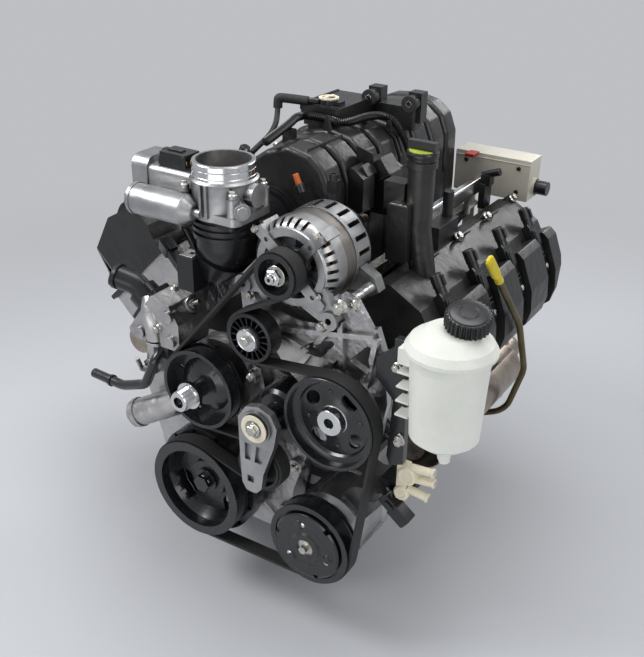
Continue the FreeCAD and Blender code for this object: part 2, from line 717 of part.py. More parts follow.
def make_pump_body():
    volute = disc(64, PUMP_X, PUMP_Z, PUMP_FRONT + 14, COVER_FRONT)
    nose = turned([(0, PUMP_FRONT), (24, PUMP_FRONT), (34, PUMP_FRONT + 14), (0, PUMP_FRONT + 14)], PUMP_X, PUMP_Z)
    arm_left = slab([(-44, COVER_TOP), (-120, COVER_TOP), (-138, 205), (-132, 165), (-30, 160)],
                    PUMP_FRONT + 16, COVER_FRONT, 8)
    arm_right = slab([(60, 236), (96, 232), (104, 200), (70, 170)], PUMP_FRONT + 18, COVER_FRONT, 5)
    route = [(-34, -580, 196), (-64, -582, 124), (-158, -602, 72)]
    inlet = tube(route, 34, PUMP_INLET_R)
    bead = rod(PUMP_INLET_R + 2, (-146, -599.4, 78.6), (-152, -600.7, 75.3))
    bosses = [disc(12, x, z, PUMP_FRONT + 6, COVER_FRONT) for x, z in ((-118, 172), (-60, 204), (84, 218), (60, 150))]
    body = join([volute, nose, arm_left, arm_right, inlet, bead] + bosses)
    chamber = disc(50, PUMP_X, PUMP_Z, PUMP_FRONT + 20, COVER_FRONT + 1)
    cuts = [chamber, disc(PUMP_SHAFT_R + SHAFT_FIT, PUMP_X, PUMP_Z, PUMP_FRONT - 1, COVER_FRONT + 1),
            tube(route, 34, PUMP_INLET_R - 4), box(-400, 400, COVER_FRONT, 0, -400, 400)]
    return cut(body, cuts)


def make_pump_rotor():
    shaft = disc(PUMP_SHAFT_R, PUMP_X, PUMP_Z, RIM_FRONT - 8, COVER_FRONT - 2)
    hub = disc(40, PUMP_X, PUMP_Z, PUMP_FRONT + 33, COVER_FRONT - 2)
    vane = box(PUMP_X + 6, PUMP_X + 44, PUMP_FRONT + 23, PUMP_FRONT + 34, PUMP_Z - 2, PUMP_Z + 2)
    return join([shaft, hub] + ring_of(vane, 6, PUMP_X, PUMP_Z))


def grooved_rim(rim, inner, x, z, front=RIM_FRONT, rear=RIM_REAR):
    """Rim with a sunk band for the ribbed belt between two guide flanges."""
    band0 = front + 2.5
    band1 = BELT_REAR + 2
    profile = [(inner, front), (rim, front), (rim, band0), (rim - GROOVE, band0), (rim - GROOVE, band1),
               (rim, band1), (rim, rear), (inner, rear)]
    return turned(profile, x, z)


def make_pump_pulley():
    rim = grooved_rim(PUMP_RIM, PUMP_RIM - 6, PUMP_X, PUMP_Z)
    web = turned([(PUMP_SHAFT_R, -628), (30, -628), (46, -618), (PUMP_RIM - 5, -618), (PUMP_RIM - 5, -614),
                  (45, -614), (29, -624), (PUMP_SHAFT_R, -624)], PUMP_X, PUMP_Z)
    hub = turned([(PUMP_SHAFT_R, -660), (22, -660), (22, -653), (14, -650), (14, -604), (PUMP_SHAFT_R, -604)],
                 PUMP_X, PUMP_Z)
    nose = turned([(9, -684), (15, -684), (16, -682), (16, -662), (17, -659), (9, -659)], PUMP_X, PUMP_Z)
    slots = ring_of(box(PUMP_X + 46, PUMP_X + 56, -620, -612, PUMP_Z - 3, PUMP_Z + 3), 4, PUMP_X, PUMP_Z, 20)
    return cut(join([rim, web, hub, nose]), slots)


def make_outlet_housing():
    foot = COVER_TOP + LIFT_GAP
    body = slab([(-152, 242), (-97, 316), (-62, 304), (-44, 276), (-44, foot), (-120, foot), (-140, foot)],
                -606, -532, 6)
    bosses = [disc(10, x, z, -613, -596) for x, z in ((-60, 244), (-62, 288), (-124, 244))]
    return join([body] + bosses)


NECK_FOOT = (-124, -572, 280)


def make_outlet_neck():
    x, y, z = NECK_FOOT
    flange = plate([(-38, y - 24), (38, y - 24), (38, y + 24), (-38, y + 24)], 0.1, 9, 10)
    flange.rotate(V(0, 0, 0), V(0, 1, 0), -53.4)
    flange.translate(V(x - 1, 0, z - 0.6))
    route = [(x - 6, y, z + 4.4), (x - 36, y, z + 26.8), (-198, -584, 318)]
    pipe = tube(route, 34, 19)
    collar = rod(25, (x - 6, y, z + 4.4), (x - 24, y, z + 17.8))
    bead = rod(21.5, (-186, -581.9, 316.4), (-192, -583, 317.2))
    return cut(join([flange, pipe, collar, bead]), [tube(route, 34, 15)])


def make_heater_tube():
    route = [(-96, -588, 212), (-100, -606, 196), (-122, -608, 146), (-180, -604, 122), (-254, -598, 120)]
    pipe = tube(route, [14, 26, 60], 8.5)
    bead = rod(10.5, (-206, -601.9, 121.3), (-211, -601.5, 121.2))
    foot = slab([(-112, 198), (-80, 198), (-80, 228), (-112, 228)], PUMP_FRONT + 4.1, PUMP_FRONT + 15.9, 5)
    return cut(join([pipe, bead, foot]), [tube(route, [14, 26, 60], 6.5)])


# Crank damper

def make_damper():
    rim = grooved_rim(CRANK_RIM, CRANK_RIM - 16, 0, 0)
    bowl = turned([(CRANK_RIM - 17, -622), (CRANK_RIM - 15, -622), (CRANK_RIM - 15, -606), (CRANK_RIM - 15, -596),
                   (30, -590), (30, -598), (60, -602)], 0, 0)
    hub = turned([(SNOUT_R, -606), (34, -606), (34, -566), (SNOUT_R, -566)], 0, 0)
    inertia = turned([(CRANK_RIM - 15, -606), (96, -606), (96, -578), (60, -578), (60, -590), (70, -598)], 0, 0)
    window = slab([(40, -16), (58, -34), (64, 0), (58, 34), (40, 16)], -640, -576, 6)
    holes = ring_of(window, 3, 0, 0, 30)
    small = ring_of(disc(4, 90, 0, -608, -590), 12, 0, 0, 15)
    wheel = cut(join([rim, bowl, inertia]), holes + small)
    wheel = join([wheel, hub])
    bolt = join([disc(SNOUT_R + 2, 0, 0, -611, -606.2), hexagon(27, 0, 0, -624, -611)])
    return Part.makeCompound([wheel, bolt])


# Alternator

def make_alternator_front():
    shell = turned([(44, ALT_FRONT + 4), (46, ALT_FRONT), (57, ALT_FRONT), (58, ALT_FRONT + 2), (62, ALT_FRONT + 4),
                    (ALT_BODY_R - 1, ALT_FRONT + 13), (ALT_BODY_R, ALT_FRONT + 22), (ALT_BODY_R, ALT_STATOR_FRONT),
                    (ALT_BODY_R - ALT_WALL, ALT_STATOR_FRONT), (ALT_BODY_R - ALT_WALL, ALT_FRONT + 24),
                    (60, ALT_FRONT + 12), (44, ALT_FRONT + 9)], ALT_X, ALT_Z)
    slot_tool = box(ALT_X + 59.4, ALT_X + 75, ALT_FRONT - 1, ALT_FRONT + 19, ALT_Z - 2.6, ALT_Z + 2.6)
    slots = [copy for index, copy in enumerate(ring_of(slot_tool, 32, ALT_X, ALT_Z, 5.6)) if index % 8 not in (2, 3)]
    hub = turned([(ALT_SHAFT_R + SHAFT_FIT, ALT_FRONT - 4), (22, ALT_FRONT - 4), (26, ALT_FRONT + 14),
                  (ALT_SHAFT_R + SHAFT_FIT, ALT_FRONT + 14)], ALT_X, ALT_Z)
    arm = slab([(ALT_X + 20, ALT_Z - 10), (ALT_X + 58, ALT_Z - 8.5), (ALT_X + 72, ALT_Z - 8.5), (ALT_X + 75, ALT_Z),
                (ALT_X + 72, ALT_Z + 8.5), (ALT_X + 58, ALT_Z + 8.5), (ALT_X + 20, ALT_Z + 10)],
               ALT_FRONT - 3, ALT_FRONT + 7)
    rest = box(ALT_X + 64, ALT_X + 75, ALT_FRONT + 6, ALT_STATOR_FRONT, ALT_Z - 8, ALT_Z + 8)
    eye = disc(3.5, ALT_X + 52, ALT_Z, ALT_FRONT - 4, ALT_FRONT + 8)
    arms = ring_of(cut(join([arm, rest]), [eye]), 4, ALT_X, ALT_Z, -48)
    body = join([cut(shell, slots), hub] + arms)
    lugs = []
    bores = []
    for x, z in alt_lugs():
        reach = V(ALT_X, 0, ALT_Z) - V(x, 0, z)
        reach.normalize()
        inner = V(x, 0, z) + reach * (math.hypot(ALT_X - x, ALT_Z - z) - 52)
        side = V(-reach.z, 0, reach.x) * 13
        points = [(x + side.x, z + side.z), (x - side.x, z - side.z),
                  (inner.x - side.x * 2.1, inner.z - side.z * 2.1), (inner.x + side.x * 2.1, inner.z + side.z * 2.1)]
        lugs += [slab(points, ALT_LUG_FRONT + 4.5, ALT_LUG_REAR), disc(14, x, z, ALT_LUG_FRONT, ALT_LUG_REAR)]
        bores.append(disc(5, x, z, ALT_LUG_FRONT - 1, ALT_LUG_REAR + 1))
    inside = turned([(0, ALT_FRONT + 10), (56, ALT_FRONT + 12), (62, ALT_FRONT + 23),
                     (ALT_BODY_R - ALT_WALL, ALT_FRONT + 25), (ALT_BODY_R - ALT_WALL, ALT_STATOR_FRONT + 1),
                     (0, ALT_STATOR_FRONT + 1)], ALT_X, ALT_Z)
    return join([cut(join([body] + lugs), bores + [inside]), hub])


def alt_lugs():
    return [(ALT_X - 82, ALT_Z - 44), (ALT_X + 66, ALT_Z - 64)]


def alt_ear():
    return (ALT_X + 86, ALT_Z - 36)


def make_alternator_stator():
    ring = turned([(52, ALT_STATOR_FRONT), (ALT_BODY_R - 1.5, ALT_STATOR_FRONT), (ALT_BODY_R - 1.5, ALT_STATOR_REAR),
                   (52, ALT_STATOR_REAR)], ALT_X, ALT_Z)
    coils = turned([(53, ALT_STATOR_FRONT - 12), (62, ALT_STATOR_FRONT - 12), (62, ALT_STATOR_REAR + 12),
                    (53, ALT_STATOR_REAR + 12)], ALT_X, ALT_Z)
    return join([ring, coils])


def make_alternator_rear():
    shell = turned([(ALT_BODY_R - ALT_WALL, ALT_STATOR_REAR), (ALT_BODY_R, ALT_STATOR_REAR),
                    (ALT_BODY_R, ALT_REAR - 12), (60, ALT_REAR), (ALT_SHAFT_R + 9, ALT_REAR),
                    (ALT_SHAFT_R + 9, ALT_REAR - 5), (58, ALT_REAR - 5), (ALT_BODY_R - ALT_WALL, ALT_REAR - 14)],
                   ALT_X, ALT_Z)
    slots = ring_of(box(ALT_X + 60, ALT_X + 75, ALT_STATOR_REAR + 7, ALT_REAR - 14, ALT_Z - 3.5, ALT_Z + 3.5),
                    20, ALT_X, ALT_Z, 9)
    hub = turned([(ALT_SHAFT_R + SHAFT_FIT, ALT_REAR - 14), (20, ALT_REAR - 14), (20, ALT_REAR),
                  (ALT_SHAFT_R + SHAFT_FIT, ALT_REAR)], ALT_X, ALT_Z)
    ear_x, ear_z = alt_ear()
    ear = slab([(ALT_X + 58, ALT_Z - 4), (ear_x + 6, ear_z + 14), (ear_x + 14, ear_z - 6), (ear_x, ear_z - 15),
                (ALT_X + 44, ALT_Z - 46)], ALT_EAR_FRONT, ALT_EAR_FRONT + 20)
    ear = cut(ear, [disc(ALT_BODY_R - 2, ALT_X, ALT_Z, -540, -490), disc(5, ear_x, ear_z, -540, -490)])
    return join([cut(shell, slots), hub, ear])


def make_alternator_cover():
    return turned([(0, ALT_REAR + 0.1), (58, ALT_REAR + 0.1), (58, ALT_REAR + 8), (50, ALT_REAR + 16), (0, ALT_REAR + 16)],
                  ALT_X, ALT_Z)


def make_alternator_rotor():
    shaft = disc(ALT_SHAFT_R, ALT_X, ALT_Z, RIM_FRONT - 4, ALT_REAR - 1)
    core = disc(50, ALT_X, ALT_Z, ALT_STATOR_FRONT - 2, ALT_STATOR_REAR + 2)
    core = cut(core, ring_of(box(ALT_X + 42, ALT_X + 52, ALT_STATOR_FRONT - 3, ALT_STATOR_REAR + 3,
                                 ALT_Z - 3, ALT_Z + 3), 12, ALT_X, ALT_Z))
    fan = disc(46, ALT_X, ALT_Z, ALT_STATOR_FRONT - 9, ALT_STATOR_FRONT - 2)
    collar = disc(13, ALT_X, ALT_Z, ALT_STATOR_FRONT - 20, ALT_STATOR_FRONT - 2)
    blade = box(ALT_X + 14, ALT_X + 46, ALT_STATOR_FRONT - 21, ALT_STATOR_FRONT - 8, ALT_Z - 1, ALT_Z + 1)
    return join([shaft, core, fan, collar] + ring_of(blade, 11, ALT_X, ALT_Z))


def make_alternator_pulley():
    rim = grooved_rim(ALT_RIM, ALT_RIM - 7, ALT_X, ALT_Z, RIM_FRONT, -606)
    web = turned([(ALT_SHAFT_R, -622), (ALT_RIM - 6, -622), (ALT_RIM - 6, -608), (ALT_SHAFT_R, -606)], ALT_X, ALT_Z)
    nut = cut(hexagon(24, ALT_X, ALT_Z, -634, -622.2), [disc(ALT_SHAFT_R, ALT_X, ALT_Z, -650, -600)])
    return Part.makeCompound([join([rim, web]), nut])


# Accessory bracket and belt guides

BRACKET_Y0 = -592.0
BRACKET_Y1 = -574.0


def bracket_feet():
    """Two feet follow the deck on the front of the head, one stands higher on it."""
    return [bank_point(-21, HEAD_TOP - 67), bank_point(57, DECK_HEIGHT + 30), bank_point(-71, HEAD_TOP - 51)]


def make_bracket():
    outline = [(86, 300), (70, 332), (66, 372), (84, 398), (104, 390), (112, 362), (138, 346), (172, 340),
               (204, 344), (222, 376), (246, 374), (262, 350), (300, 362), (312, 330), (322, 250), (312, 190),
               (286, 152), (240, 134), (212, 148), (194, 190), (184, 226), (150, 252), (120, 290)]
    panel = slab(outline, BRACKET_Y0 + 6, BRACKET_Y1)
    windows = [slab([(170, 296), (200, 314), (238, 326), (216, 296)], -600, -570, 4),
               slab([(256, 300), (290, 336), (298, 300), (290, 288)], -600, -570, 4)]
    ribs = []
    for a, b in (((120, 317), (300, 352)), ((120, 317), (236, 290)), ((250, 290), (246, 362)),
                 ((290, 270), (304, 350)), ((84, 384), (120, 317)), ((172, 262), (232, 352))):
        ribs.append(rib_between(a, b, 8, BRACKET_Y0 - 4, BRACKET_Y0 + 8))
    boss = disc(22, IDLER_X, IDLER_Z, -608, BRACKET_Y1)
    pin = disc(IDLER_BORE_R - SHAFT_FIT, IDLER_X, IDLER_Z, -640, -607)
    lug_seats = [disc(13, x, z, BRACKET_Y0 + 6, BRACKET_Y1) for x, z in alt_lugs()]
    legs = [disc(13, x, z, BRACKET_Y1 - 2, HEAD_FRONT - 0.05) for x, z in bracket_feet()]
    ear_x, ear_z = alt_ear()
    ear_arm = slab([(236, 340), (300, 346), (ear_x + 14, ear_z + 4), (ear_x - 10, ear_z + 10)],
                   BRACKET_Y0 + 6, BRACKET_Y1)
    ear_post = disc(9, ear_x, ear_z, BRACKET_Y1 - 2, ALT_EAR_FRONT - 0.1)
    body = join([panel, boss, ear_arm, ear_post] + ribs + legs)
    room = [disc(ALT_BODY_R + 1.5, ALT_X, ALT_Z, -620, -480), disc(46, STEER_X, STEER_Z, -620, BRACKET_Y1 + 1)]
    room += [disc(16, x, z, BRACKET_Y0 - 20, BRACKET_Y0 + 6) for x, z in alt_lugs()]
    return join([cut(body, windows + room), pin] + lug_seats)


def rib_between(a, b, width, y0, y1):
    dx = b[0] - a[0]
    dz = b[1] - a[1]
    length = math.hypot(dx, dz)
    nx = -dz / length * width / 2
    nz = dx / length * width / 2
    return slab([(a[0] + nx, a[1] + nz), (b[0] + nx, b[1] + nz), (b[0] - nx, b[1] - nz), (a[0] - nx, a[1] - nz)],
                y0, y1)


def make_idler():
    rim = turned([(IDLER_R - 5, -639), (IDLER_R, -638), (IDLER_R, -611), (IDLER_R - 5, -611)], IDLER_X, IDLER_Z)
    hub = turned([(IDLER_BORE_R, -640), (20, -640), (20, -610), (IDLER_BORE_R, -610)], IDLER_X, IDLER_Z)
    web = turned([(19, -628), (IDLER_R - 4, -628), (IDLER_R - 4, -622), (19, -622)], IDLER_X, IDLER_Z)
    rib = box(IDLER_X + 19, IDLER_X + IDLER_R - 4, -638, -627, IDLER_Z - 0.8, IDLER_Z + 0.8)
    cap = turned([(0, -645), (8, -645), (17, -642), (17, -640.2), (0, -640.2)], IDLER_X, IDLER_Z)
    return Part.makeCompound([join([rim, hub, web] + ring_of(rib, 18, IDLER_X, IDLER_Z)), cap])


def make_tensioner_case():
    case = turned([(0, -606), (30, -606), (36, -600), (36, COVER_FRONT - 0.05), (0, COVER_FRONT - 0.05)],
                  PIVOT_X, PIVOT_Z)
    neck = disc(16, PIVOT_X, PIVOT_Z, -643, -605)
    stop = slab([(PIVOT_X + 28, PIVOT_Z - 10), (PIVOT_X + 42, PIVOT_Z - 8), (PIVOT_X + 42, PIVOT_Z + 8),
                 (PIVOT_X + 28, PIVOT_Z + 10)], -600, -572)
    return join([case, neck, stop, disc(9.9, PIVOT_X, PIVOT_Z, -662, -640)])


def make_tensioner_arm():
    outline = [(-35, 6), (-34, -22), (-32, -86), (-30, -112), (-22, -124), (-4, -124), (6, -112), (10, -84),
               (30, -28), (36, 6), (25, 27), (4, 35), (-20, 29)]
    arm = slab([(PIVOT_X + x, PIVOT_Z + z) for x, z in outline], ARM_FRONT + 4, ARM_BACK, 6)
    boss = disc(26, PIVOT_X, PIVOT_Z, ARM_FRONT, ARM_BACK)
    ring = turned([(9.95, -664), (15, -664), (17, ARM_FRONT), (9.95, ARM_FRONT)], PIVOT_X, PIVOT_Z)
    pocket_a = [(-24, -36), (-10, -36), (-14, -66), (-24, -66)]
    pocket_b = [(-2, -36), (20, -36), (6, -66), (-6, -66)]
    pockets = [slab([(PIVOT_X + x, PIVOT_Z + z) for x, z in points], ARM_FRONT - 1, ARM_FRONT + 9)
               for points in (pocket_a, pocket_b)]
    pockets.append(slab(rect(PIVOT_X - 20, PIVOT_X - 8, PIVOT_Z - 106, PIVOT_Z - 94), ARM_FRONT - 1, ARM_FRONT + 10))
    axle = disc(9, TENS_X, TENS_Z, ARM_BACK - 1, -612)
    collar = disc(14, TENS_X, TENS_Z, ARM_BACK - 1, -638.3)
    arm = join([arm, boss, ring, axle, collar])
    return cut(arm, pockets + [disc(9.95, PIVOT_X, PIVOT_Z, -670, -620)])


def make_tensioner_pulley():
    rim = turned([(TENS_R - 4, -638), (TENS_R, -638), (TENS_R, -610), (TENS_R - 4, -610)], TENS_X, TENS_Z)
    hub = turned([(9 + SHAFT_FIT, -638), (16, -638), (16, -610), (9 + SHAFT_FIT, -610)], TENS_X, TENS_Z)
    web = turned([(15, -630), (TENS_R - 3, -630), (TENS_R - 3, -620), (15, -620)], TENS_X, TENS_Z)
    return join([rim, hub, web])


# Power steering

def make_steering_pump():
    body = turned([(12 + SHAFT_FIT, -600), (30, -600), (45, -590), (45, -552), (40, -520), (28, -512), (0, -512),
                   (0, -530), (12 + SHAFT_FIT, -530)], STEER_X, STEER_Z)
    ear = slab([(STEER_X - 14, STEER_Z - 60), (STEER_X + 14, STEER_Z - 60), (STEER_X + 14, STEER_Z + 60),
                (STEER_X - 14, STEER_Z + 60)], BRACKET_Y1 + 0.1, BRACKET_Y1 + 10, 8)
    port = rod(11, (STEER_X + 20, -545, STEER_Z - 20), (STEER_X + 66, -545, STEER_Z - 52))
    inside = disc(44, STEER_X, STEER_Z, -600, -520)
    ear = ear.cut(inside)
    port = port.cut(disc(40, STEER_X, STEER_Z, -600, -512))
    return join([body, ear, port])


def make_steering_pulley():
    rim = grooved_rim(STEER_RIM, STEER_RIM - 6, STEER_X, STEER_Z)
    web = turned([(12, -620), (STEER_RIM - 5, -624), (STEER_RIM - 5, -618), (12, -614)], STEER_X, STEER_Z)
    hub = turned([(8, -634), (20, -634), (22, -612), (12, -604), (8, -604)], STEER_X, STEER_Z)
    holes = ring_of(disc(11, STEER_X + 44, STEER_Z, -640, -606), 6, STEER_X, STEER_Z, 10)
    shaft = disc(12, STEER_X, STEER_Z, -606, -532)
    return join([cut(join([rim, web]), holes), hub, shaft])


# Compressor

def make_compressor():
    body = turned([(9 + SHAFT_FIT, -603), (24, -603), (24, -592), (50, -588), (58, -580), (58, -510), (62, -506),
                   (62, -496), (58, -492), (56, -452), (44, -440), (0, -440), (0, -560), (9 + SHAFT_FIT, -560)],
                  COMP_X, COMP_Z)
    lugs = []
    for z in (-46, -12):
        lugs.append(box(SKIRT_HALF + 0.02, COMP_X - 30, -506, -484, z, z + 20))
    top = slab([(COMP_X + 14, COMP_Z + 48), (COMP_X + 62, COMP_Z + 34), (COMP_X + 92, COMP_Z + 76),
                (COMP_X + 78, COMP_Z + 96), (COMP_X + 40, COMP_Z + 86), (COMP_X + 20, COMP_Z + 66)], -574, -500, 6)
    ribs = ring_of(box(COMP_X + 56, COMP_X + 63, -578, -508, COMP_Z - 3, COMP_Z + 3), 8, COMP_X, COMP_Z, 22)
    hollow = disc(50, COMP_X, COMP_Z, -560, -460)
    lugs = [lug.cut(hollow) for lug in lugs]
    return join([body, top.cut(hollow)] + ribs + lugs)


def make_compressor_pulley():
    rim = grooved_rim(COMP_RIM, COMP_RIM - 9, COMP_X, COMP_Z)
    face = turned([(44, -637), (COMP_RIM - 8, -637), (COMP_RIM - 8, -630), (44, -630)], COMP_X, COMP_Z)
    inner = turned([(24 + SHAFT_FIT, -632), (46, -632), (46, -606), (24 + SHAFT_FIT, -606)], COMP_X, COMP_Z)
    return join([rim, face, inner])


def make_clutch_plate():
    """Front plate of the clutch. It clears the pulley face by the air gap of the released clutch."""
    y = RIM_FRONT - CLUTCH_GAP
    plate_disc = turned([(14.05, y - 5), (55, y - 5), (58, y - 3), (58, y), (14.05, y)], COMP_X, COMP_Z)
    middle = turned([(14.05, y - 9), (23, y - 9), (27, y - 5), (27, y - 4), (14.05, y - 4)], COMP_X, COMP_Z)
    rivets = ring_of(turned([(0, y - 9), (5, y - 9), (8, y - 6), (8, y - 4), (0, y - 4)], COMP_X, COMP_Z + 40),
                     3, COMP_X, COMP_Z, 100)
    notch = ring_of(box(COMP_X - 4, COMP_X + 4, y - 6, y + 1, COMP_Z + 51, COMP_Z + 60), 3, COMP_X, COMP_Z, 40)
    return cut(join([plate_disc, middle] + rivets), notch)


def make_compressor_shaft():
    y = RIM_FRONT - CLUTCH_GAP
    hub = disc(14, COMP_X, COMP_Z, y - 6, -606)
    shaft = disc(9, COMP_X, COMP_Z, -610, -562)
    return join([hub, shaft, hexagon(12, COMP_X, COMP_Z, y - 16, y - 5)])


def make_compressor_connectors():
    x = COMP_X + 85
    z = COMP_Z + 92
    black = rod(14, (x - 16, -570, z - 8), (x + 6, -590, z + 30))
    block = box(x + 6, x + 34, -585, -545, z + 14, z + 40)
    stubs = [rod(7, (x + 30, y, z + 30), (x + 56, y - 4, z + 34)) for y in (-577, -556)]
    link = rod(6, (x - 4, -572, z + 2), (x + 14, -566, z + 20))
    room = make_compressor()
    return join([black, block, link] + stubs).cut(room)


# Intake, throttle and fuel

def runner(side, y):
    """Foot of one runner: up from the head flange and into the side of the arch above it."""
    port_x, port_z = bank_point(-HEAD_IN - 10, PORT_UP)
    reach = ARCH_HALF - 1
    outline = [(port_x + 24 * SIN, port_z + 24 * COS), (reach, 330), (reach, 420), (90, 420), (74, 330),
               (port_x - 26 * SIN, port_z - 26 * COS)]
    solid = slab(outline, y - RUNNER_WIDTH / 2, y + RUNNER_WIDTH / 2)
    if side == "right":
        solid = solid.mirror(V(0, 0, 0), V(1, 0, 0))
        solid.translate(V(0, BANK_STAGGER, 0))
    return solid


def arch(index):
    """One rounded runner arch over the plenum. The front ones fall away to the right."""
    y0 = ARCH_FRONT + index * BORE_PITCH / 2
    y1 = min(y0 + ARCH_WIDTH, BARREL_REAR)
    left = [(ARCH_HALF - 1, 336), (ARCH_HALF, 400), (ARCH_HALF - 2, 490), (128, 522), (104, 541), (66, 549)]
    right = ARCH_FALL[min(index, len(ARCH_FALL) - 1)]
    solid = slab(left + right, y0, y1, 12)
    rims = [e for e in solid.Edges if abs(e.BoundBox.YMax - e.BoundBox.YMin) < 0.01
            and e.BoundBox.ZMax > 345 and e.BoundBox.ZMin > 335]
    return solid.makeFillet(ARCH_ROUND, rims)


def injector_ends(side, y):
    """Foot and top of one injector: foot on the manifold boss, top under the fuel rail."""
    sign = 1 if side == "left" else -1
    shift = 0 if side == "left" else BANK_STAGGER
    foot_x, foot_z = bank_point(-HEAD_IN - 9.7, PORT_UP + 22)
    return V(sign * (foot_x + 6), y + shift, foot_z + 14), V(sign * RAIL_X, y + shift, RAIL_TOP_Z - 8.1)


def make_intake():
    core = slab([(134, 336), (134, 484), (122, 514), (100, 531), (60, 539), (12, 527), (-28, 502), (-66, 466),
                 (-94, 426), (-100, 336)], BARREL_FRONT + 10, BARREL_REAR, 12)
    hollow = slab([(128, 346), (128, 481), (117, 508), (98, 525), (60, 533), (15, 521), (-24, 496), (-60, 462),
                   (-88, 423), (-94, 346)], BARREL_FRONT + 16, BARREL_REAR - INTAKE_WALL)
    adds = [core]
    for index in range(ARCHES):
        adds.append(arch(index))
    flange_in = -HEAD_IN - 10
    for side in ("left", "right"):
        for y in bore_ys():
            adds.append(runner(side, y))
            foot, top = injector_ends(side, y)
            along = (top - foot).normalize()
            adds.append(Part.makeCylinder(11, 16, foot - along * 16.1, along))
        flange = box(flange_in, -HEAD_IN, HEAD_FRONT + 10, HEAD_REAR - 10, PORT_UP - 32, PORT_UP + 30)
        adds.append(on_bank(flange, side))
    lid = plate([(-8, -322), (68, -322), (68, -204), (-8, -204)], LID_TOP - 22, LID_TOP, 8)
    skirt = plate([(-2, -316), (62, -316), (62, -208), (-2, -208)], LID_TOP - 34, LID_TOP - 21)
    pedestal = plate([(4, -312), (58, -312), (58, -208), (4, -208)], LID_TOP - 66, LID_TOP - 33)
    beam = plate([(44, -212), (148, -212), (148, -176), (44, -176)], LID_TOP - 46, LID_TOP - 8, 6)
    saddle = plate([(12, -398), (30, -398), (30, -384), (12, -384)], 528, 552.8)
    adds += [lid, skirt, pedestal, beam, saddle]
    for x in (66, 142):
        adds.append(disc(13, x, LID_TOP, -222, -204))
        adds.append(plate([(x - 10, -206), (x + 14, -206), (x + 14, -184), (x - 10, -184)], LID_TOP - 34, LID_TOP + 16))
    adds.append(slab([(ARCH_HALF - 3, 452), (166, 444), (166, 500), (150, 512), (ARCH_HALF - 3, 516)], -404, -370, 3))
    adds.append(slab([(ARCH_HALF - 3, 430), (184, 430), (184, 502), (164, 512), (ARCH_HALF - 3, 516)], -352, -312, 3))
    adds.append(slab([(ARCH_HALF - 3, 420), (158, 420), (158, 530), (ARCH_HALF - 14, 538)], -366, -362))
    front = disc(NECK_R + 8, THROTTLE_X, NECK_Z, BARREL_FRONT - 8, BARREL_FRONT + 24)
    ring = turned([(NECK_R + 6, BARREL_FRONT), (NECK_R + 22, BARREL_FRONT + 2), (NECK_R + 22, BARREL_FRONT + 14),
                   (NECK_R + 6, BARREL_FRONT + 14)], THROTTLE_X, NECK_Z)
    adds += [front, ring]
    body = join(adds)
    mouth = disc(NECK_R - 5, THROTTLE_X, NECK_Z, BARREL_FRONT - 9, BARREL_FRONT + 40)
    return cut(body, [hollow, mouth])


def make_neck():
    flange_front = BARREL_FRONT - 8.1
    upright = post(NECK_R, THROTTLE_X, THROTTLE_Y, NECK_Z, THROTTLE_BASE - 0.1)
    level = Part.makeCylinder(NECK_R, flange_front - THROTTLE_Y, V(THROTTLE_X, THROTTLE_Y, NECK_Z), V(0, 1, 0))
    bend = Part.makeSphere(NECK_R, V(THROTTLE_X, THROTTLE_Y, NECK_Z))
    bands = [post(NECK_R + 4, THROTTLE_X, THROTTLE_Y, z, z + 5) for z in (446, 456, 466)]
    outline = [(-15, -44), (46, -44), (46, 44), (-54, 44), (-54, -8), (-15, -8)]
    top = plate([(THROTTLE_X + x, THROTTLE_Y + y) for x, y in outline], THROTTLE_BASE - 8, THROTTLE_BASE - 0.1, 6)
    tail = Part.makeCylinder(NECK_R + 6, 8, V(THROTTLE_X, flange_front - 8, NECK_Z), V(0, 1, 0))
    skirt = Part.makeCone(NECK_R, 24, 44, V(THROTTLE_X - 8, THROTTLE_Y, NECK_Z - 18), V(-0.5, 0, -1))
    tower = box(-16, 14, -630, -598, 358, 412)
    body = join([upright, level, bend, top, tail, skirt, tower] + bands)
    inner = NECK_R - 5
    cuts = [post(inner, THROTTLE_X, THROTTLE_Y, NECK_Z, THROTTLE_BASE + 1),
            Part.makeCylinder(inner, 200, V(THROTTLE_X, THROTTLE_Y, NECK_Z), V(0, 1, 0)),
            Part.makeSphere(inner, V(THROTTLE_X, THROTTLE_Y, NECK_Z)),
            box(-60, 140, THROTTLE_Y - 70, THROTTLE_Y + 52, THROTTLE_BASE - 0.1, THROTTLE_BASE + 40),
            rod(MOTOR_R + 0.4, (-70, THROTTLE_Y - MOTOR_OFFSET, THROTTLE_BASE + 11),
                (THROTTLE_X - 29, THROTTLE_Y - MOTOR_OFFSET, THROTTLE_BASE + 11)),
            Part.makeCone(MOTOR_R + 0.6, 12.6, 14, V(THROTTLE_X - 30, THROTTLE_Y - MOTOR_OFFSET, THROTTLE_BASE + 11),
                          V(1, 0, 0))]
    return cut(body, cuts)


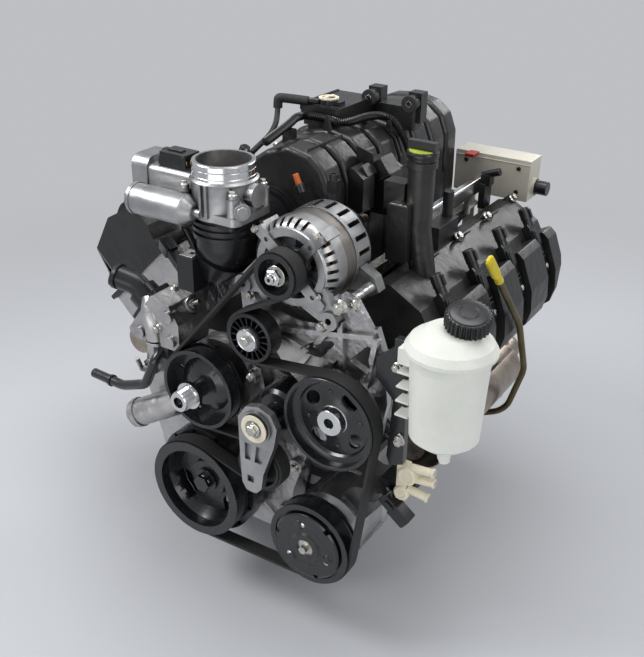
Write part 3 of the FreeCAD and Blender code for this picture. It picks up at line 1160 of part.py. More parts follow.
def make_throttle_body():
    x = THROTTLE_X
    y = THROTTLE_Y
    barrel = turned_up([(THROTTLE_BORE_R, THROTTLE_BASE), (48, THROTTLE_BASE), (48, 524), (50, 530), (THROTTLE_LIP_R, 534),
                        (THROTTLE_LIP_R, THROTTLE_TOP - 3), (THROTTLE_LIP_R - 2, THROTTLE_TOP),
                        (THROTTLE_BORE_R, THROTTLE_TOP)], x, y)
    flange = plate([(x - 56, y - 46), (x + 48, y - 46), (x + 54, y - 36), (x + 54, y + 40), (x - 56, y + 44)],
                   THROTTLE_BASE, THROTTLE_BASE + 12, 9)
    towers = [post(9, x + sx, y + sy, THROTTLE_BASE, 514) for sx, sy in ((-44, -36), (42, -36), (44, 32), (-44, 34))]
    heads = [post(7, x + sx, y + sy, 513, 520) for sx, sy in ((-44, -36), (42, -36), (44, 32), (-44, 34))]
    boss = rod(17, (x + 30, y, PLATE_Z - 8), (x + 60, y, PLATE_Z - 8))
    ribs = [box(x - 6 + dx, x - 2 + dx, y - 52, y - 40, THROTTLE_BASE + 6, 530) for dx in (0, 10)]
    case_x = x - 140
    case = box(case_x, x - 44, y - 22, y + 38, 484, 530)
    case = case.makeFillet(10, [e for e in case.Edges if is_along(e, V(1, 0, 0))])
    lid = box(case_x - 16, case_x + 14, y - 24, y + 46, 440, 540)
    lid = lid.makeFillet(18, [e for e in lid.Edges if is_along(e, V(1, 0, 0))])
    motor_y = y - MOTOR_OFFSET
    motor_z = THROTTLE_BASE + 11
    motor = rod(MOTOR_R, (case_x + 12, motor_y, motor_z), (x - 30, motor_y, motor_z))
    arm = box(case_x + 12, x - 56, motor_y, y, 466, 500)
    motor_cap = Part.makeCone(MOTOR_R, 12, 14, V(x - 30, motor_y, motor_z), V(1, 0, 0))
    nub = rod(6, (x - 18, motor_y, motor_z), (x - 4, motor_y, motor_z))
    socket = box(case_x + 34, case_x + 72, y - 16, y + 18, 526, 552)
    body = join([barrel, flange, boss, case, lid, motor, arm, motor_cap, nub, socket] + towers + heads + ribs)
    bore = post(THROTTLE_BORE_R, x, y, THROTTLE_BASE - 1, THROTTLE_TOP + 1)
    shaft = rod(PLATE_SHAFT_R + SHAFT_FIT, (x - 60, y, PLATE_Z), (x + 50, y, PLATE_Z))
    return cut(body, [bore, shaft])


def make_throttle_plate():
    x = THROTTLE_X
    y = THROTTLE_Y
    plate_disc = post(THROTTLE_BORE_R - 0.4, x, y, PLATE_Z - 1.2, PLATE_Z + 1.2)
    edge = Part.makeSphere(THROTTLE_BORE_R - 0.35, V(x, y, PLATE_Z))
    shaft = rod(PLATE_SHAFT_R, (x - 58, y, PLATE_Z), (x + 48, y, PLATE_Z))
    screws = [post(3, x + dx, y, PLATE_Z, PLATE_Z + 7) for dx in (-16, 16)]
    return join([plate_disc.common(edge), shaft] + screws)


def make_fuel_rail():
    y0 = bore_ys()[0] - 20
    y1 = bore_ys()[-1] + 30
    left = box(RAIL_X - 9, RAIL_X + 9, y0, y1, RAIL_TOP_Z - 8, RAIL_TOP_Z + 10)
    right = box(-RAIL_X - 9, -RAIL_X + 9, y0 + BANK_STAGGER, y1 + BANK_STAGGER - 8, RAIL_TOP_Z - 8, RAIL_TOP_Z + 10)
    z = RAIL_TOP_Z
    cross_y = BARREL_REAR + 7.4
    cross = tube([(RAIL_X, y1 - 8, z), (RAIL_X, cross_y, z), (-RAIL_X, cross_y, z), (-RAIL_X, y1 + 4, z)], 12, 5)
    return join([left, right, cross])


def make_injectors():
    pieces = []
    for side in ("left", "right"):
        for y in bore_ys():
            foot, top = injector_ends(side, y)
            body = rod(7, foot, top + (top - foot) * 0.2)
            y0 = foot.y - 40
            pieces.append(body.cut(box(-300, 300, y0, y0 + 80, RAIL_TOP_Z - 8.1, RAIL_TOP_Z + 60)))
    return Part.makeCompound(pieces)


# Reservoir, dipstick, filler and rear box

def make_reservoir():
    outer = [(0, RES_BOTTOM), (RES_FOOT_R - 14, RES_BOTTOM), (RES_FOOT_R, RES_BOTTOM + 12), (RES_R - 8, RES_RIM_Z - 22),
             (RES_R - 4, RES_RIM_Z - 6), (RES_R, RES_RIM_Z - 5), (RES_R, RES_RIM_Z), (RES_R - 6, RES_RIM_Z + 10),
             (RES_R - 26, RES_RIM_Z + 24), (0, RES_RIM_Z + 28)]
    t = RES_WALL
    inner = [(0, RES_BOTTOM + t), (RES_FOOT_R - 15, RES_BOTTOM + t), (RES_FOOT_R - t, RES_BOTTOM + 13),
             (RES_R - 8 - t, RES_RIM_Z - 22), (RES_R - 8 - t, RES_RIM_Z + 4), (RES_R - 28, RES_RIM_Z + 20),
             (0, RES_RIM_Z + 24)]
    axis = cap_axis()
    base = V(CAP_X, CAP_Y, CAP_Z)
    neck = Part.makeCylinder(CAP_R - 7, 39.7, base - axis * 30, axis)
    nipple = post(8, RES_X, RES_Y, RES_BOTTOM - 14, RES_BOTTOM + 1)
    ears = []
    for z in (276, 352):
        ears.append(box(RES_BRACKET_X + 7, RES_X - RES_FOOT_R + 8, RES_Y + 20, RES_Y + 34, z, z + 16))
    ears.append(box(RES_X - RES_FOOT_R - 16, RES_X - RES_FOOT_R + 8, RES_Y + 24, RES_Y + 30, 276, 366))
    body = join([turned_up(outer, RES_X, RES_Y), neck, nipple] + ears)
    cuts = [turned_up(inner, RES_X, RES_Y), Part.makeCylinder(CAP_R - 10, 80, base - axis * 40, axis),
            post(5, RES_X, RES_Y, RES_BOTTOM - 15, RES_BOTTOM + 5)]
    return cut(body, cuts)


RES_BRACKET_X = 352.0


def cap_axis():
    tilt = math.radians(CAP_TILT)
    return V(0.54 * math.sin(tilt), -0.84 * math.sin(tilt), math.cos(tilt)).normalize()


def make_cap():
    axis = cap_axis()
    base = V(CAP_X, CAP_Y, CAP_Z)
    skirt = Part.makeCylinder(CAP_R, 16, base, axis)
    bore = Part.makeCylinder(CAP_R - 7 + LIFT_GAP, 11, base - axis, axis)
    top = Part.makeCone(CAP_R, CAP_R - 3, 3, base + axis * 16, axis)
    return cut(join([skirt, top]), [bore])


def make_reservoir_bracket():
    y0 = BRACKET_Y0 - 9
    y1 = BRACKET_Y0 + 4
    edge = RES_BRACKET_X + 6.7
    bar = slab([(309, 300), (309, 330), (336, 352), (336, 366), (edge, 366), (edge, 170), (338, 160), (332, 176),
                (338, 270)], y0, y1)
    tab = box(309, 321, y0, BRACKET_Y0 + 5.9, 296, 320)
    return join([bar, tab])


DIP_ROUTE = [(378, -350, 366), (389, -268, 262), (388, -212, 150), (358, -198, 48), (244, -198, -4),
             (SKIRT_HALF + 1.2, -198, -26)]


def make_dipstick_tube():
    return tube(DIP_ROUTE, [120, 70, 60, 90], 5.5, 4.2)


def make_dipstick():
    start = V(*DIP_ROUTE[0])
    axis = (start - V(*DIP_ROUTE[1])).normalize()
    blade = Part.makeCylinder(3.6, 90, start - axis * 80, axis)
    collar = Part.makeCylinder(7, 14, start + axis * 0.3, axis)
    grip = Part.makeCylinder(9, 50, start + axis * 14, axis)
    side = V(0, 0, 1).cross(axis).normalize()
    flats = []
    for sign in (-1, 1):
        centre = start + axis * 40 + side * (sign * 13)
        flats.append(Part.makeCylinder(9, 80, centre - axis * 40, axis))
    return join([blade, collar, grip.cut(flats)])


def make_filler_tube():
    route = [(FILL_FOOT_X, FILL_Y, 362), (FILL_X, FILL_Y, 440), (FILL_X, FILL_Y, FILL_TOP - 8)]
    cover = on_bank(slab([(x, HEAD_TOP + up) for x, up in COVER_PROFILE], FILL_Y - 40, FILL_Y + 40), "left")
    pipe = tube(route, 60, FILL_R, FILL_R - 3).cut([cover, make_valve_cover("left")])
    collar = post(FILL_R + 3, FILL_X, FILL_Y, FILL_TOP - 22, FILL_TOP - 12).cut(
        post(FILL_R - 1, FILL_X, FILL_Y, FILL_TOP - 30, FILL_TOP))
    clip = box(FILL_X - 52, FILL_X - FILL_R + 2, FILL_Y - 16, FILL_Y + 12, 470, 512)
    return join([pipe, collar, clip])


def make_filler_cap():
    disc_part = post(FILL_R + 3, FILL_X, FILL_Y, FILL_TOP - 7.7, FILL_TOP + 2)
    plug = post(FILL_R - 3 - LIFT_GAP, FILL_X, FILL_Y, FILL_TOP - 26, FILL_TOP - 7)
    grip = box(FILL_X - 22, FILL_X + 22, FILL_Y - 6, FILL_Y + 6, FILL_TOP + 2, FILL_TOP + 16)
    return join([disc_part, plug, grip])


def make_conduit():
    return tube([(36, -476, 554), (24, -400, 560), (2, -338, 561), (44, -331, 562), (84, -331, 556), (98, -250, 560),
                 (132, -232, 545), (152, -232, 500)], [50, 22, 22, 20, 30, 20], 7)


def make_rear_box():
    shell = box(136, 284, -8, 44, 372, 449)
    shell = shell.makeFillet(3, [e for e in shell.Edges if is_along(e, V(0, 1, 0))])
    hose = rod(13, (283, 18, 396), (312, 18, 396))
    collar = rod(16, (283, 18, 396), (290, 18, 396))
    tabs = [box(x, x + 22, HEAD_REAR + 0.05, -7, 279, 285) for x in (160, 190)]
    feet = [box(x, x + 22, HEAD_REAR + 0.05, HEAD_REAR + 4, 250, 285) for x in (160, 190)]
    legs = [box(x, x + 22, -8, -4, 279, 376) for x in (160, 190)]
    return join([shell, hose, collar] + tabs + feet + legs)


NODES = {
    "engine_block": make_block,
    "oil_pan_gasket": make_pan_gasket,
    "oil_pan": make_oil_pan,
    "crankshaft": make_crankshaft,
    "pistons": make_pistons,
    "camshaft": make_camshaft,
    "crank_sprocket": lambda: sprocket(CRANK_TEETH, CRANK_SPROCKET_R, 0, 24, SNOUT_R),
    "cam_sprocket": make_cam_sprocket,
    "timing_chain": make_chain,
    "timing_cover": make_timing_cover,
    "crank_damper": make_damper,
    "cylinder_head_left": lambda: make_head("left"),
    "cylinder_head_right": lambda: make_head("right"),
    "valve_cover_left": lambda: make_valve_cover("left"),
    "valve_cover_right": lambda: make_valve_cover("right"),
    "coil_packs_left": lambda: make_coils("left"),
    "coil_packs_right": lambda: make_coils("right"),
    "exhaust_manifold_left": lambda: make_exhaust("left"),
    "exhaust_manifold_right": lambda: make_exhaust("right"),
    "heat_shield_left": make_heat_shield,
    "intake_manifold": make_intake,
    "intake_neck": make_neck,
    "throttle_body": make_throttle_body,
    "throttle_plate": make_throttle_plate,
    "fuel_rail": make_fuel_rail,
    "fuel_injectors": make_injectors,
    "water_pump_body": make_pump_body,
    "water_pump_rotor": make_pump_rotor,
    "water_pump_pulley": make_pump_pulley,
    "water_outlet_housing": make_outlet_housing,
    "water_outlet_neck": make_outlet_neck,
    "heater_tube": make_heater_tube,
    "alternator_front_housing": make_alternator_front,
    "alternator_stator": make_alternator_stator,
    "alternator_rear_housing": make_alternator_rear,
    "alternator_rotor": make_alternator_rotor,
    "alternator_pulley": make_alternator_pulley,
    "alternator_rear_cover": make_alternator_cover,
    "accessory_bracket": make_bracket,
    "idler_pulley": make_idler,
    "tensioner_case": make_tensioner_case,
    "tensioner_arm": make_tensioner_arm,
    "tensioner_pulley": make_tensioner_pulley,
    "drive_belt": make_belt,
    "steering_pump": make_steering_pump,
    "steering_pulley": make_steering_pulley,
    "fluid_reservoir": make_reservoir,
    "reservoir_cap": make_cap,
    "reservoir_bracket": make_reservoir_bracket,
    "compressor_body": make_compressor,
    "compressor_pulley": make_compressor_pulley,
    "compressor_clutch_plate": make_clutch_plate,
    "compressor_shaft": make_compressor_shaft,
    "compressor_connectors": make_compressor_connectors,
    "dipstick": make_dipstick,
    "dipstick_tube": make_dipstick_tube,
    "oil_filler_tube": make_filler_tube,
    "oil_filler_cap": make_filler_cap,
    "wiring_conduit": make_conduit,
    "rear_module_box": make_rear_box,
}

os.makedirs("parts", exist_ok=True)
for name, make in NODES.items():
    shape = make()
    shape.exportStep("parts/" + name + ".step")
    print(name, len(shape.Solids), round(shape.Volume), shape.isValid())
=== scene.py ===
# %% [markdown]
# # A complete V8 engine
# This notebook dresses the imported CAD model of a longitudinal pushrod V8: cast and machined aluminium, black
# moulded plastic, rubber, plated steel. The CAD model is the fixed frame, in metres, with +Y to the rear.
# Every added shape below is written in millimetres.

# %% Load the frame
import json
from math import asin, atan2, cos, dist, hypot, pi, radians, sin, sqrt

import bmesh
import bpy
from mathutils import Matrix, Vector

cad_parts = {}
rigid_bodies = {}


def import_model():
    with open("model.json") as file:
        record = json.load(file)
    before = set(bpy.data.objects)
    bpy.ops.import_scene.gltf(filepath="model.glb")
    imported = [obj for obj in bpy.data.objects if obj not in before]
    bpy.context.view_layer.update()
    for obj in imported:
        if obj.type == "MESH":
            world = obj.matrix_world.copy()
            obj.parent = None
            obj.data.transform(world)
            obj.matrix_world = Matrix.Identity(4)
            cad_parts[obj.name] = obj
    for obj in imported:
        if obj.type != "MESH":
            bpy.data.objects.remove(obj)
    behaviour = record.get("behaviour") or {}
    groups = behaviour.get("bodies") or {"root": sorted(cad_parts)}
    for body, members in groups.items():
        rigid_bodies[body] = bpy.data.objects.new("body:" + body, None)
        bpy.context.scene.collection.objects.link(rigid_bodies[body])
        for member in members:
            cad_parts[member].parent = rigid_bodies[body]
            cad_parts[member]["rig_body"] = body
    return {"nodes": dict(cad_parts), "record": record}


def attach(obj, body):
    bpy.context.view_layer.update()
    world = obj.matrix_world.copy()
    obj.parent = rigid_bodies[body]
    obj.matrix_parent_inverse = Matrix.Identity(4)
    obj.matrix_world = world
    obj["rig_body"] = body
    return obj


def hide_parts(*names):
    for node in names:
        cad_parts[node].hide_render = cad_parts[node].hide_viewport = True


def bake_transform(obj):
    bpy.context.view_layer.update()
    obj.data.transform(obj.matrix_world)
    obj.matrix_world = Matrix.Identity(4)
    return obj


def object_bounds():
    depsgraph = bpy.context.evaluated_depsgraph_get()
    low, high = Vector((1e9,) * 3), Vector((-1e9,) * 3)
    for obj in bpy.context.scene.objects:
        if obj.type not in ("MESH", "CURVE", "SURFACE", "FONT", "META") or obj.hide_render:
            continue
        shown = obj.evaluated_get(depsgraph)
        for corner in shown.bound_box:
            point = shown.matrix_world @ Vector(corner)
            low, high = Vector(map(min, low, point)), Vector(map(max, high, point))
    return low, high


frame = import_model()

CAD_BOX = [list(corner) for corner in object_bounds()]
NODES = frame["nodes"]
BODY_OF = {name: node["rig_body"] for name, node in NODES.items()}
SLOT_OF = {row["node"]: row["material_slot"] for row in frame["record"]["subparts"]}
MM = 0.001
print(len(NODES), "CAD nodes, box", CAD_BOX)

# %% [markdown]
# ## The camera
# The picture was taken from the engine's front left and from above. A fit to the round pulleys gave the place,
# the direction and the focal length, so the render lines up with the photograph with no shift.

# %% Camera
def in_scene(name, data):
    """New object with this data, linked to the scene."""
    obj = bpy.data.objects.new(name, data)
    bpy.context.scene.collection.objects.link(obj)
    return obj


CAMERA_PLACE = (0.8397, -1.5739, 0.9448)
RIGHT = Vector((0.840052, 0.542358, 0.012707))
UPWARD = Vector((-0.259027, 0.380404, 0.887805))
BACKWARD = Vector((0.476674, -0.749093, 0.460045))
FILM_MM, FOCAL_PX, LONG_SIDE_PX = 36.0, 927.0, 657.0
lens = bpy.data.cameras.new("camera")
lens.sensor_fit = "AUTO"
lens.sensor_width = FILM_MM
lens.lens = FILM_MM * FOCAL_PX / LONG_SIDE_PX
camera = in_scene("camera", lens)
turn = Matrix((RIGHT, UPWARD, BACKWARD)).transposed().to_4x4()
camera.matrix_world = Matrix.Translation(CAMERA_PLACE) @ turn
bpy.context.scene.camera = camera
print("camera", CAMERA_PLACE, "lens", round(lens.lens, 1), "mm")

# %% [markdown]
# ## Studio
# A part is photographed on a pale sweep of card under broad lamps. It could be a curved sheet; a flat floor that
# turns into one even tone further out gives the same picture from every side, and it can't hide the part.
# One broad soft light stands left and above, a weaker one right, a strip behind. Metals need something pale to
# mirror, so camera and glossy rays see a paler world than the one that lights.

# %% Colour and node helpers
def linear(code, alpha=1.0):
    """Colour of an sRGB hex code as linear values."""
    values = [int(code[i:i + 2], 16) / 255 for i in (1, 3, 5)]
    return [v / 12.92 if v <= 0.04045 else ((v + 0.055) / 1.055) ** 2.4 for v in values] + [alpha]


def set_values(node, values):
    """Sets inputs of a node that nothing is linked to."""
    for key, value in values.items():
        node.inputs[key].default_value = value


def add(tree, kind, values=None, links=None, **settings):
    """Adds a node, sets its properties and sockets, and links its inputs. A linked node gives its first output."""
    made = tree.nodes.new(kind)
    for key, value in settings.items():
        setattr(made, key, value)
    set_values(made, values or {})
    for key, source in (links or {}).items():
        output = source.outputs[0] if isinstance(source, bpy.types.Node) else source
        tree.links.new(output, made.inputs[key])
    return made


# %% World
bpy.context.scene.view_settings.view_transform = "Standard"
world = bpy.data.worlds.new("studio")
bpy.context.scene.world = world
world.use_nodes = True
tree = world.node_tree
tree.nodes.clear()
ray = add(tree, "ShaderNodeLightPath")
seen = add(tree, "ShaderNodeMath", operation="MAXIMUM",
           links={0: ray.outputs["Is Camera Ray"], 1: ray.outputs["Is Glossy Ray"]})
ambient = add(tree, "ShaderNodeBackground", {"Color": linear("#D9DCE2"), "Strength": 0.34})
BACKDROP = {"Color": linear("#CFD1D5"), "Strength": 0.82}
backdrop = add(tree, "ShaderNodeBackground", BACKDROP)
mixed = add(tree, "ShaderNodeMixShader",
            links={0: seen, 1: ambient, 2: backdrop})
add(tree, "ShaderNodeOutputWorld", links={"Surface": mixed})

# %% Floor
# The floor takes the shadow near the engine and turns into the even tone of the backdrop further out.
FLOOR_Z = CAD_BOX[0][2] - 0.0005
HALF_FLOOR, FADE_START, FADE_END = 40.0, 0.75, 2.1
floor_mesh = bpy.data.meshes.new("floor")
CORNERS = ((-1, -1), (1, -1), (1, 1), (-1, 1))
floor_mesh.from_pydata([(sx * HALF_FLOOR, sy * HALF_FLOOR, FLOOR_Z) for sx, sy in CORNERS], [], [(0, 1, 2, 3)])
floor = in_scene("floor", floor_mesh)
floor_paint = bpy.data.materials.new("matt_pale_floor")
floor_paint.use_nodes = True
tree = floor_paint.node_tree
matt = tree.nodes["Principled BSDF"]
set_values(matt, {"Base Color": linear("#C4C6CA"), "Roughness": 0.8})
where = add(tree, "ShaderNodeTexCoord").outputs["Object"]
reach = add(tree, "ShaderNodeVectorMath", {1: (0.1, -0.2, FLOOR_Z)}, {0: where}, operation="DISTANCE")
fade = add(tree, "ShaderNodeMapRange", {1: FADE_START, 2: FADE_END}, {0: reach.outputs["Value"]},
           interpolation_type="SMOOTHSTEP")
even = add(tree, "ShaderNodeEmission", BACKDROP)
blend = add(tree, "ShaderNodeMixShader", links={0: fade, 1: matt, 2: even})
tree.links.new(blend.outputs[0], tree.nodes["Material Output"].inputs["Surface"])
floor_mesh.materials.append(floor_paint)
print("floor at", round(FLOOR_Z, 4))


# %% Lamps
def area_lamp(name, place, target, width, height, power):
    """Rectangular lamp that faces its target."""
    data = bpy.data.lights.new(name, "AREA")
    data.shape = "RECTANGLE"
    data.size = width
    data.size_y = height
    data.energy = power
    lamp = in_scene(name, data)
    lamp.location = place
    lamp.rotation_mode = "QUATERNION"
    lamp.rotation_quaternion = (Vector(target) - Vector(place)).to_track_quat("-Z", "Y")


MIDDLE = (0.08, -0.35, 0.2)
area_lamp("key_left", (-1.3, -1.5, 1.9), MIDDLE, 1.2, 0.8, 36)
area_lamp("fill_right", (2.2, -1.1, 1.3), MIDDLE, 1.2, 1.6, 16)
area_lamp("overhead", (0.1, -0.2, 2.2), MIDDLE, 1.6, 0.9, 24)
area_lamp("rear_strip", (0.6, 1.7, 1.5), MIDDLE, 2.0, 0.5, 18)
area_lamp("low_front", (0.3, -2.4, 0.15), MIDDLE, 1.8, 0.9, 9)

# %% [markdown]
# ## Finishes
# Each finish is a metal or plastic that such an engine has, with the marks of how its surface was made: sand
# cast grain, turned rings, the fine orange peel of a black coat, the satin grain of glass filled nylon.
# Grain is drawn two to four times coarser than real where it would vanish at this picture size.

# %% One builder for all finishes
def finish(name, low, high, rough, metallic, grain_mm, bump_mm, cloud_mm, spread,
           coat=0.0, streak=None, painted_corner_shade=None, wave_mm=0.0):
    """Principled surface whose colour drifts between two hex codes, with grain in roughness and bump, and painted
    shade in its corners when a shade colour is given.
    """
    paint = bpy.data.materials.new(name)
    paint.use_nodes = True
    tree = paint.node_tree
    shader = tree.nodes["Principled BSDF"]
    set_values(shader, {"Metallic": metallic, "Coat Weight": coat, "Coat Roughness": 0.12})
    where = add(tree, "ShaderNodeTexCoord").outputs["Object"]
    if streak:
        where = add(tree, "ShaderNodeMapping", {"Scale": streak}, {"Vector": where}).outputs[0]
    cloud = add(tree, "ShaderNodeTexNoise", {"Scale": 1000 / cloud_mm, "Detail": 5.0, "Roughness": 0.6},
                {"Vector": where})
    grain = add(tree, "ShaderNodeTexNoise", {"Scale": 1000 / grain_mm, "Detail": 3.0, "Roughness": 0.55},
                {"Vector": where})
    both = add(tree, "ShaderNodeMix", {0: 0.35}, {2: cloud, 3: grain}, data_type="FLOAT")
    tone = add(tree, "ShaderNodeMapRange", {1: 0.33, 2: 0.67}, {0: both})
    colour = add(tree, "ShaderNodeMix", {6: linear(low), 7: linear(high)}, {0: tone},
                 data_type="RGBA")
    result = colour.outputs[2]
    if painted_corner_shade:
        # Painted shade: corners and joints, where ambient occlusion finds other surfaces close by, are painted
        # darker than open faces.
        edge = add(tree, "ShaderNodeAmbientOcclusion", {"Distance": 0.012}, samples=4)
        hold = add(tree, "ShaderNodeMapRange", {1: 0.3, 2: 0.85, 3: 0.65, 4: 0.0}, {0: edge.outputs["AO"]})
        corner_shaded = add(tree, "ShaderNodeMix", {7: linear(painted_corner_shade)}, {0: hold, 6: result}, data_type="RGBA")
        result = corner_shaded.outputs[2]
    tree.links.new(result, shader.inputs["Base Color"])
    gloss = add(tree, "ShaderNodeMapRange",
                {1: 0.3, 2: 0.7, 3: max(0.02, rough - spread), 4: min(1, rough + spread)}, {0: both})
    tree.links.new(gloss.outputs[0], shader.inputs["Roughness"])
    if bump_mm:
        relief = add(tree, "ShaderNodeBump", {"Strength": 1.0, "Distance": bump_mm / 1000},
                     {"Height": grain})
        if wave_mm:
            # Cast and moulded walls are never quite flat: slow waves bend the reflections.
            wave = add(tree, "ShaderNodeTexNoise", {"Scale": 55.0, "Detail": 2.0}, {"Vector": where})
            slow = add(tree, "ShaderNodeBump", {"Strength": 1.0, "Distance": wave_mm / 1000},
                       {"Height": wave})
            tree.links.new(slow.outputs[0], relief.inputs["Normal"])
        tree.links.new(relief.outputs[0], shader.inputs["Normal"])
    return paint


# %% Metals
# Sand cast aluminium is grey and dull, with a grain of under a millimetre and painted shade in its corners.
cast_alloy = finish("sand_cast_aluminium", "#A09FA3", "#C9C7C4", 0.34, 1.0, 1.6, 0.1, 55, 0.12,
                    painted_corner_shade="#4A4744", wave_mm=2.2)
# Die cast aluminium has a closer skin and a little more gloss, with painted shade in its corners too.
die_cast = finish("die_cast_aluminium", "#939497", "#B7B7B6", 0.38, 1.0, 1.1, 0.05, 40, 0.09,
                  painted_corner_shade="#454443", wave_mm=0.8)
# Turned aluminium mirrors softly, with fine tool marks.
turned_alloy = finish("turned_aluminium", "#C6C7C9", "#DEDFE0", 0.2, 1.0, 0.8, 0.003, 30, 0.06)
# Cast iron of the block, with no paint but oil and air.
grey_iron = finish("grey_cast_iron", "#3D3D3F", "#58585A", 0.6, 0.7, 2.4, 0.15, 70, 0.12)
# Forged and ground steel.
ground_steel = finish("ground_steel", "#8C8D90", "#A9AAAD", 0.28, 1.0, 0.9, 0.02, 40, 0.08)
# Zinc plated steel, faintly yellow.
zinc_plate = finish("zinc_plated_steel", "#B0AEA6", "#CFCDC5", 0.27, 1.0, 0.8, 0.01, 22, 0.08)
# Black electrocoat over pressed or cast steel: even, with a thin gloss.
black_coat = finish("black_electrocoat", "#101114", "#1D1E21", 0.27, 0.0, 1.3, 0.02, 45, 0.08, coat=0.35)
# Stainless manifold and shield, straw to bronze from the heat.
tinted_steel = finish("heat_tinted_stainless", "#7A6E62", "#B4ABA0", 0.34, 1.0, 2.0, 0.06, 38, 0.12)
olive_plate = finish("olive_passivated_steel", "#4A412B", "#6E6344", 0.34, 0.75, 1.0, 0.02, 30, 0.08)
brass_plate = finish("machined_brass", "#B09A5E", "#CDB878", 0.27, 1.0, 0.9, 0.01, 30, 0.06)
dull_brass = finish("darkened_brass", "#4A4337", "#655C4B", 0.4, 1.0, 0.9, 0.02, 30, 0.08)
copper_wire = finish("enamelled_copper_wire", "#6E3315", "#A85A28", 0.35, 1.0, 1.4, 0.12, 8, 0.1)
lamination = finish("laminated_steel", "#77716B", "#9A958F", 0.4, 1.0, 0.8, 0.04, 20, 0.1, streak=(1, 14, 1))
cream_sheet = finish("coated_sheet_steel", "#BFBAAC", "#D2CEC2", 0.42, 0.25, 1.4, 0.02, 90, 0.08)

# %% Plastics and rubber
# Glass filled nylon: nearly black, satin, with flow clouds and painted shade in its corners.
black_nylon = finish("glass_filled_black_nylon", "#161617", "#262626", 0.37, 0.0, 1.5, 0.06, 50, 0.1,
                     painted_corner_shade="#0A0A0A", wave_mm=1.2)
gloss_nylon = finish("smooth_black_nylon", "#0E0E10", "#1B1C1E", 0.3, 0.0, 1.5, 0.02, 50, 0.08)
rib_rubber = finish("belt_rubber", "#141414", "#222222", 0.66, 0.0, 0.8, 0.05, 20, 0.08)
# Translucent bottle plastic, with painted shade in its corners.
milk_plastic = finish("translucent_polyethylene", "#D9DBD3", "#E6E8E1", 0.38, 0.0, 3.0, 0.02, 80, 0.06,
                      painted_corner_shade="#B9BCAE")
set_values(milk_plastic.node_tree.nodes["Principled BSDF"],
           {"Subsurface Weight": 0.3, "Subsurface Radius": (0.01, 0.012, 0.01)})
yellow_plastic = finish("yellow_nylon", "#C9B312", "#DCC824", 0.38, 0.0, 1.5, 0.02, 30, 0.06)
ivory_nylon = finish("ivory_nylon", "#D6CEB2", "#E6DFC8", 0.4, 0.0, 1.5, 0.02, 20, 0.06)
orange_rubber = finish("orange_silicone", "#B5501C", "#CE6A2C", 0.5, 0.0, 1.5, 0.02, 20, 0.06)
lime_disc = finish("lime_nylon", "#8C9A2E", "#A5B23C", 0.45, 0.0, 1.5, 0.02, 20, 0.06)
red_nylon = finish("red_nylon", "#7E1714", "#9C221C", 0.4, 0.0, 1.5, 0.02, 20, 0.06)
# Painted shade: a near black, matt colour for the discs and sheets set inside holes and sockets.
hole_shade_paint = finish("painted_hole_shade", "#050505", "#0A0A0A", 0.8, 0.0, 1.5, 0.0, 20, 0.05)
print(len(bpy.data.materials), "finishes")

# %% [markdown]
# ## Working on the cast and moulded nodes
# A casting has no knife edges. Each part could be modelled again by hand, but then it would drift from the CAD.
# Instead a copy of the node is welded, its flat faces are put back together, its edges get a small round, and
# then it stands for the node, so that every measure stays where the CAD put it.

# %% Placing and smoothing
def place(obj, body, slot=None, nodes=()):
    """Puts a finished object on its body and hides the nodes that it stands for."""
    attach(obj, body)
    for node in nodes:
        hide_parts(node)
    return obj


def softened(mesh, sharp_degrees):
    """Marks edges sharper than the angle, so that the rest shades smooth."""
    work = bmesh.new()
    work.from_mesh(mesh)
    limit = radians(sharp_degrees)
    for face in work.faces:
        face.smooth = True
    for edge in work.edges:
        edge.smooth = len(edge.link_faces) == 2 and edge.calc_face_angle(0.0) < limit
    work.to_mesh(mesh)
    work.free()


def finished(name, mesh, sharp, edge_mm, steps):
    """Object for a mesh, with its sharp edges slightly rounded."""
    softened(mesh, sharp)
    obj = in_scene(name, mesh)
    if edge_mm:
        bevel = obj.modifiers.new("edge", "BEVEL")
        bevel.width = edge_mm * MM
        bevel.segments = steps
        bevel.limit_method = "ANGLE"
        bevel.angle_limit = radians(sharp)
        bevel.harden_normals = True
    return obj


def rounded_copy(node, paint, edge_mm=0.8, sharp=32.0, steps=2, patches=()):
    """Copy of a CAD node with rounded edges, which replaces it. A patch is a paint and a test of the face."""
    mesh = NODES[node].data.copy()
    mesh.name = node + "_finished"
    work = bmesh.new()
    work.from_mesh(mesh)
    bmesh.ops.remove_doubles(work, verts=work.verts, dist=1e-5)
    bmesh.ops.dissolve_limit(work, angle_limit=radians(0.6), verts=work.verts, edges=work.edges)
    work.to_mesh(mesh)
    work.free()
    mesh.materials.clear()
    mesh.materials.append(paint)
    for index, (other, test) in enumerate(patches, 1):
        mesh.materials.append(other)
        for face in mesh.polygons:
            if all(test(*(mesh.vertices[v].co * 1000)) for v in face.vertices):
                face.material_index = index
    obj = finished(node + "_finished", mesh, sharp, edge_mm, steps)
    return place(obj, BODY_OF[node], SLOT_OF[node], [node])


# %% Where the pulleys turn
# Centre x, centre z and rim radius. Five pulleys carry the belt's ribs, two its back.
RIB_PULLEYS = {"crank": (0, 0, 87.4), "compressor": (225.5, -10.8, 70.7), "steering": (254.7, 218.6, 74.1),
               "alternator": (166.2, 426.1, 33.3), "pump": (17.4, 196.7, 66.9)}
BACK_PULLEYS = {"idler": (120.4, 317.5, 38.1), "tensioner": (131, 96, 38.0)}


def centre(name):
    """Point of a pulley's axis at y = 0."""
    x, z, _ = (RIB_PULLEYS | BACK_PULLEYS)[name]
    return x, 0, z


def near_hub(name, front, radius):
    """Test for the points of a pulley in front of a plane and close to its axis."""
    hub_x, _, hub_z = centre(name)
    return lambda x, y, z: y < front and hypot(x - hub_x, z - hub_z) < radius


